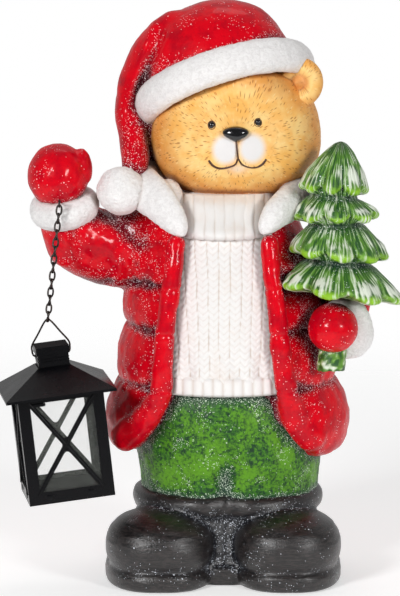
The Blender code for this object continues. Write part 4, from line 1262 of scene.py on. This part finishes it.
def lantern_trim(sheet):
    """Raised ribs on the X braces, the pane tabs and the chimney's rolled lines."""
    place = np.array(lantern_place())

    def put(name, form):
        verts, faces = form
        return piece(name, verts @ place[:3, :3].T + place[:3, 3] / MM, faces, sheet, "lantern", "lantern")

    middle = (BRACE_LOW + BRACE_HIGH) / 2
    reach, tall = FRAME_HALF - FRAME_POST, (BRACE_HIGH - BRACE_LOW) / 2
    for number in range(4):
        spin = np.array(Matrix.Rotation(number * math.pi / 2, 3, "Z"))
        for lean, way in ((1, "rise"), (-1, "fall")):
            run, climb = reach * BRACE_OVERLAP, lean * tall * BRACE_OVERLAP
            start = np.array((-run, -FRAME_HALF - 0.25, middle - climb))
            end = np.array((run, -FRAME_HALF - 0.25, middle + climb))
            keys = [(*(start + (end - start) * t) @ spin.T, *BRACE_RIB) for t in (0, 0.33, 0.66, 1)]
            put(f"brace_rib_{number + 1}_{way}", tube(keys, (0, 0, middle), 40, 12))
        for tab, (x, z, wide, tall_half) in enumerate(TABS):
            at = np.array((x, -FRAME_HALF - 0.1, z)) @ spin.T
            form = ball((0, 0, 0), (wide, 0.55, tall_half), power=5, rows=12, sides=24)
            put(f"pane_tab_{number + 1}_{tab + 1}", (form[0] @ spin.T + at, form[1]))
    for line, z in enumerate(CHIMNEY_LINES):
        ring = [np.array((x * CHIMNEY_HALF, y * CHIMNEY_HALF, z)) for x, y in CORNERS]
        path = np.concatenate([ring[k] + (ring[(k + 1) % 4] - ring[k]) * np.linspace(0, 1, 12)[:-1, None]
                               for k in range(4)])
        put(f"chimney_line_{line + 1}", hoop(path, CHIMNEY_LINE_WIRE, CHIMNEY_LINE_WIRE, (0, 0, z), 10))


def main():
    red, pile, knitwear = red_enamel("red_enamel"), plush("white_plush"), knitting("white_knit")
    fur_coat, gloss, line = bear_fur("golden_fur"), black_gloss("black_gloss"), brown_line("brown_line")
    green, cloth, leather = fir_green("fir_green"), trouser_green("trouser_green"), boot_black("boot_black")
    sheet, metal, glass = black_sheet("black_sheet"), dark_wire("dark_wire"), clear_pane("clear_pane")
    made = [bear_head(fur_coat), bear_ear(fur_coat), bear_nose(gloss)]
    eyes(gloss, line)
    mouth(line)
    made += [hat(red)] + hat_trim(pile) + [coat(red)] + sweater_pieces(knitwear) + [collar(pile)]
    made += cuffs(pile) + mittens(red) + [fir_tree(green), fir_trunk(green)]
    made += [trousers(cloth), boots(leather)]
    tree = surroundings(made)
    for one in made:
        recess_shade_marks(one, tree, FOLD_SHADE.get(one.name, 1.0))
        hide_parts("bear_figure")
    wires(metal)
    lantern_trim(sheet)
    looks = {"lantern_bail": metal, "hand_eye": metal}
    for name in frame["nodes"]:
        if name.startswith("lantern_") and name != "lantern_bail":
            looks[name] = glass if "glass" in name else sheet
    for name, look in looks.items():
        for spot in frame["nodes"][name].material_slots:
            spot.material = look


def pale_floor():
    """Floor that fades out towards its rim."""
    bpy.ops.mesh.primitive_circle_add(vertices=96, radius=1.6, fill_type="NGON", location=(0, 0, -0.0002))
    floor = bpy.context.object
    floor.name = "floor"
    paint = Paint("pale_floor")
    away = paint.node("ShaderNodeVectorMath", {"operation": "LENGTH"}, {0: paint.place}, "Value")
    colour = paint.mix(paint.noise(400, 2), (0.84, 0.84, 0.84), (0.87, 0.87, 0.87))
    paint.uniform(Emission_Color=(1, 1, 1), Emission_Strength=FLOOR_GLOW)
    floor.data.materials.append(paint.finish(colour, 0.9, Alpha=1 - away.rise(0.35, 1.4)))


def lamps(scene):
    """Soft boxes aimed at the bear."""
    for name, place, size, power in LIGHTS:
        light = bpy.data.lights.new(name, "AREA")
        light.size, light.energy = size, power
        lamp = bpy.data.objects.new(name, light)
        lamp.location = place
        lamp.rotation_euler = (Vector(LIGHTS_AIM) - Vector(place)).to_track_quat("-Z", "Y").to_euler()
        scene.collection.objects.link(lamp)


def surround(scene):
    """White surround whose light on the bear comes mostly from behind."""
    world = bpy.data.worlds.new("surround")
    world.use_nodes = True
    nodes, links = world.node_tree.nodes, world.node_tree.links

    def climb(value, low, high, dim, full):
        made = nodes.new("ShaderNodeMapRange")
        made.interpolation_type = "SMOOTHSTEP"
        for name, number in (("From Min", low), ("From Max", high), ("To Min", dim), ("To Max", full)):
            made.inputs[name].default_value = number
        links.new(value, made.inputs["Value"])
        return made

    way = nodes.new("ShaderNodeSeparateXYZ")
    links.new(nodes.new("ShaderNodeTexCoord").outputs["Generated"], way.inputs[0])
    glow = climb(way.outputs["Y"], -0.25, 0.35, FRONT_LIGHT, BACKDROP_LIGHT)
    seen = climb(nodes.new("ShaderNodeLightPath").outputs["Is Camera Ray"], 0, 1, 0, SURROUND_SEEN)
    links.new(glow.outputs[0], seen.inputs["To Min"])
    links.new(seen.outputs[0], nodes["Background"].inputs["Strength"])
    nodes["Background"].inputs["Color"].default_value = (1, 1, 1, 1)
    scene.world = world


def studio():
    """Floor, lights, surround and the camera at the photo's angle."""
    scene = bpy.context.scene
    scene.view_settings.view_transform = "Standard"
    pale_floor()
    lamps(scene)
    surround(scene)
    camera = bpy.data.objects.new("camera", bpy.data.cameras.new("camera"))
    camera.location = CAMERA_AT
    camera.rotation_euler = (math.radians(90 - CAMERA_DROP), 0, 0)
    camera.data.lens = CAMERA_LENS
    scene.collection.objects.link(camera)
    scene.camera = camera


main()
studio()
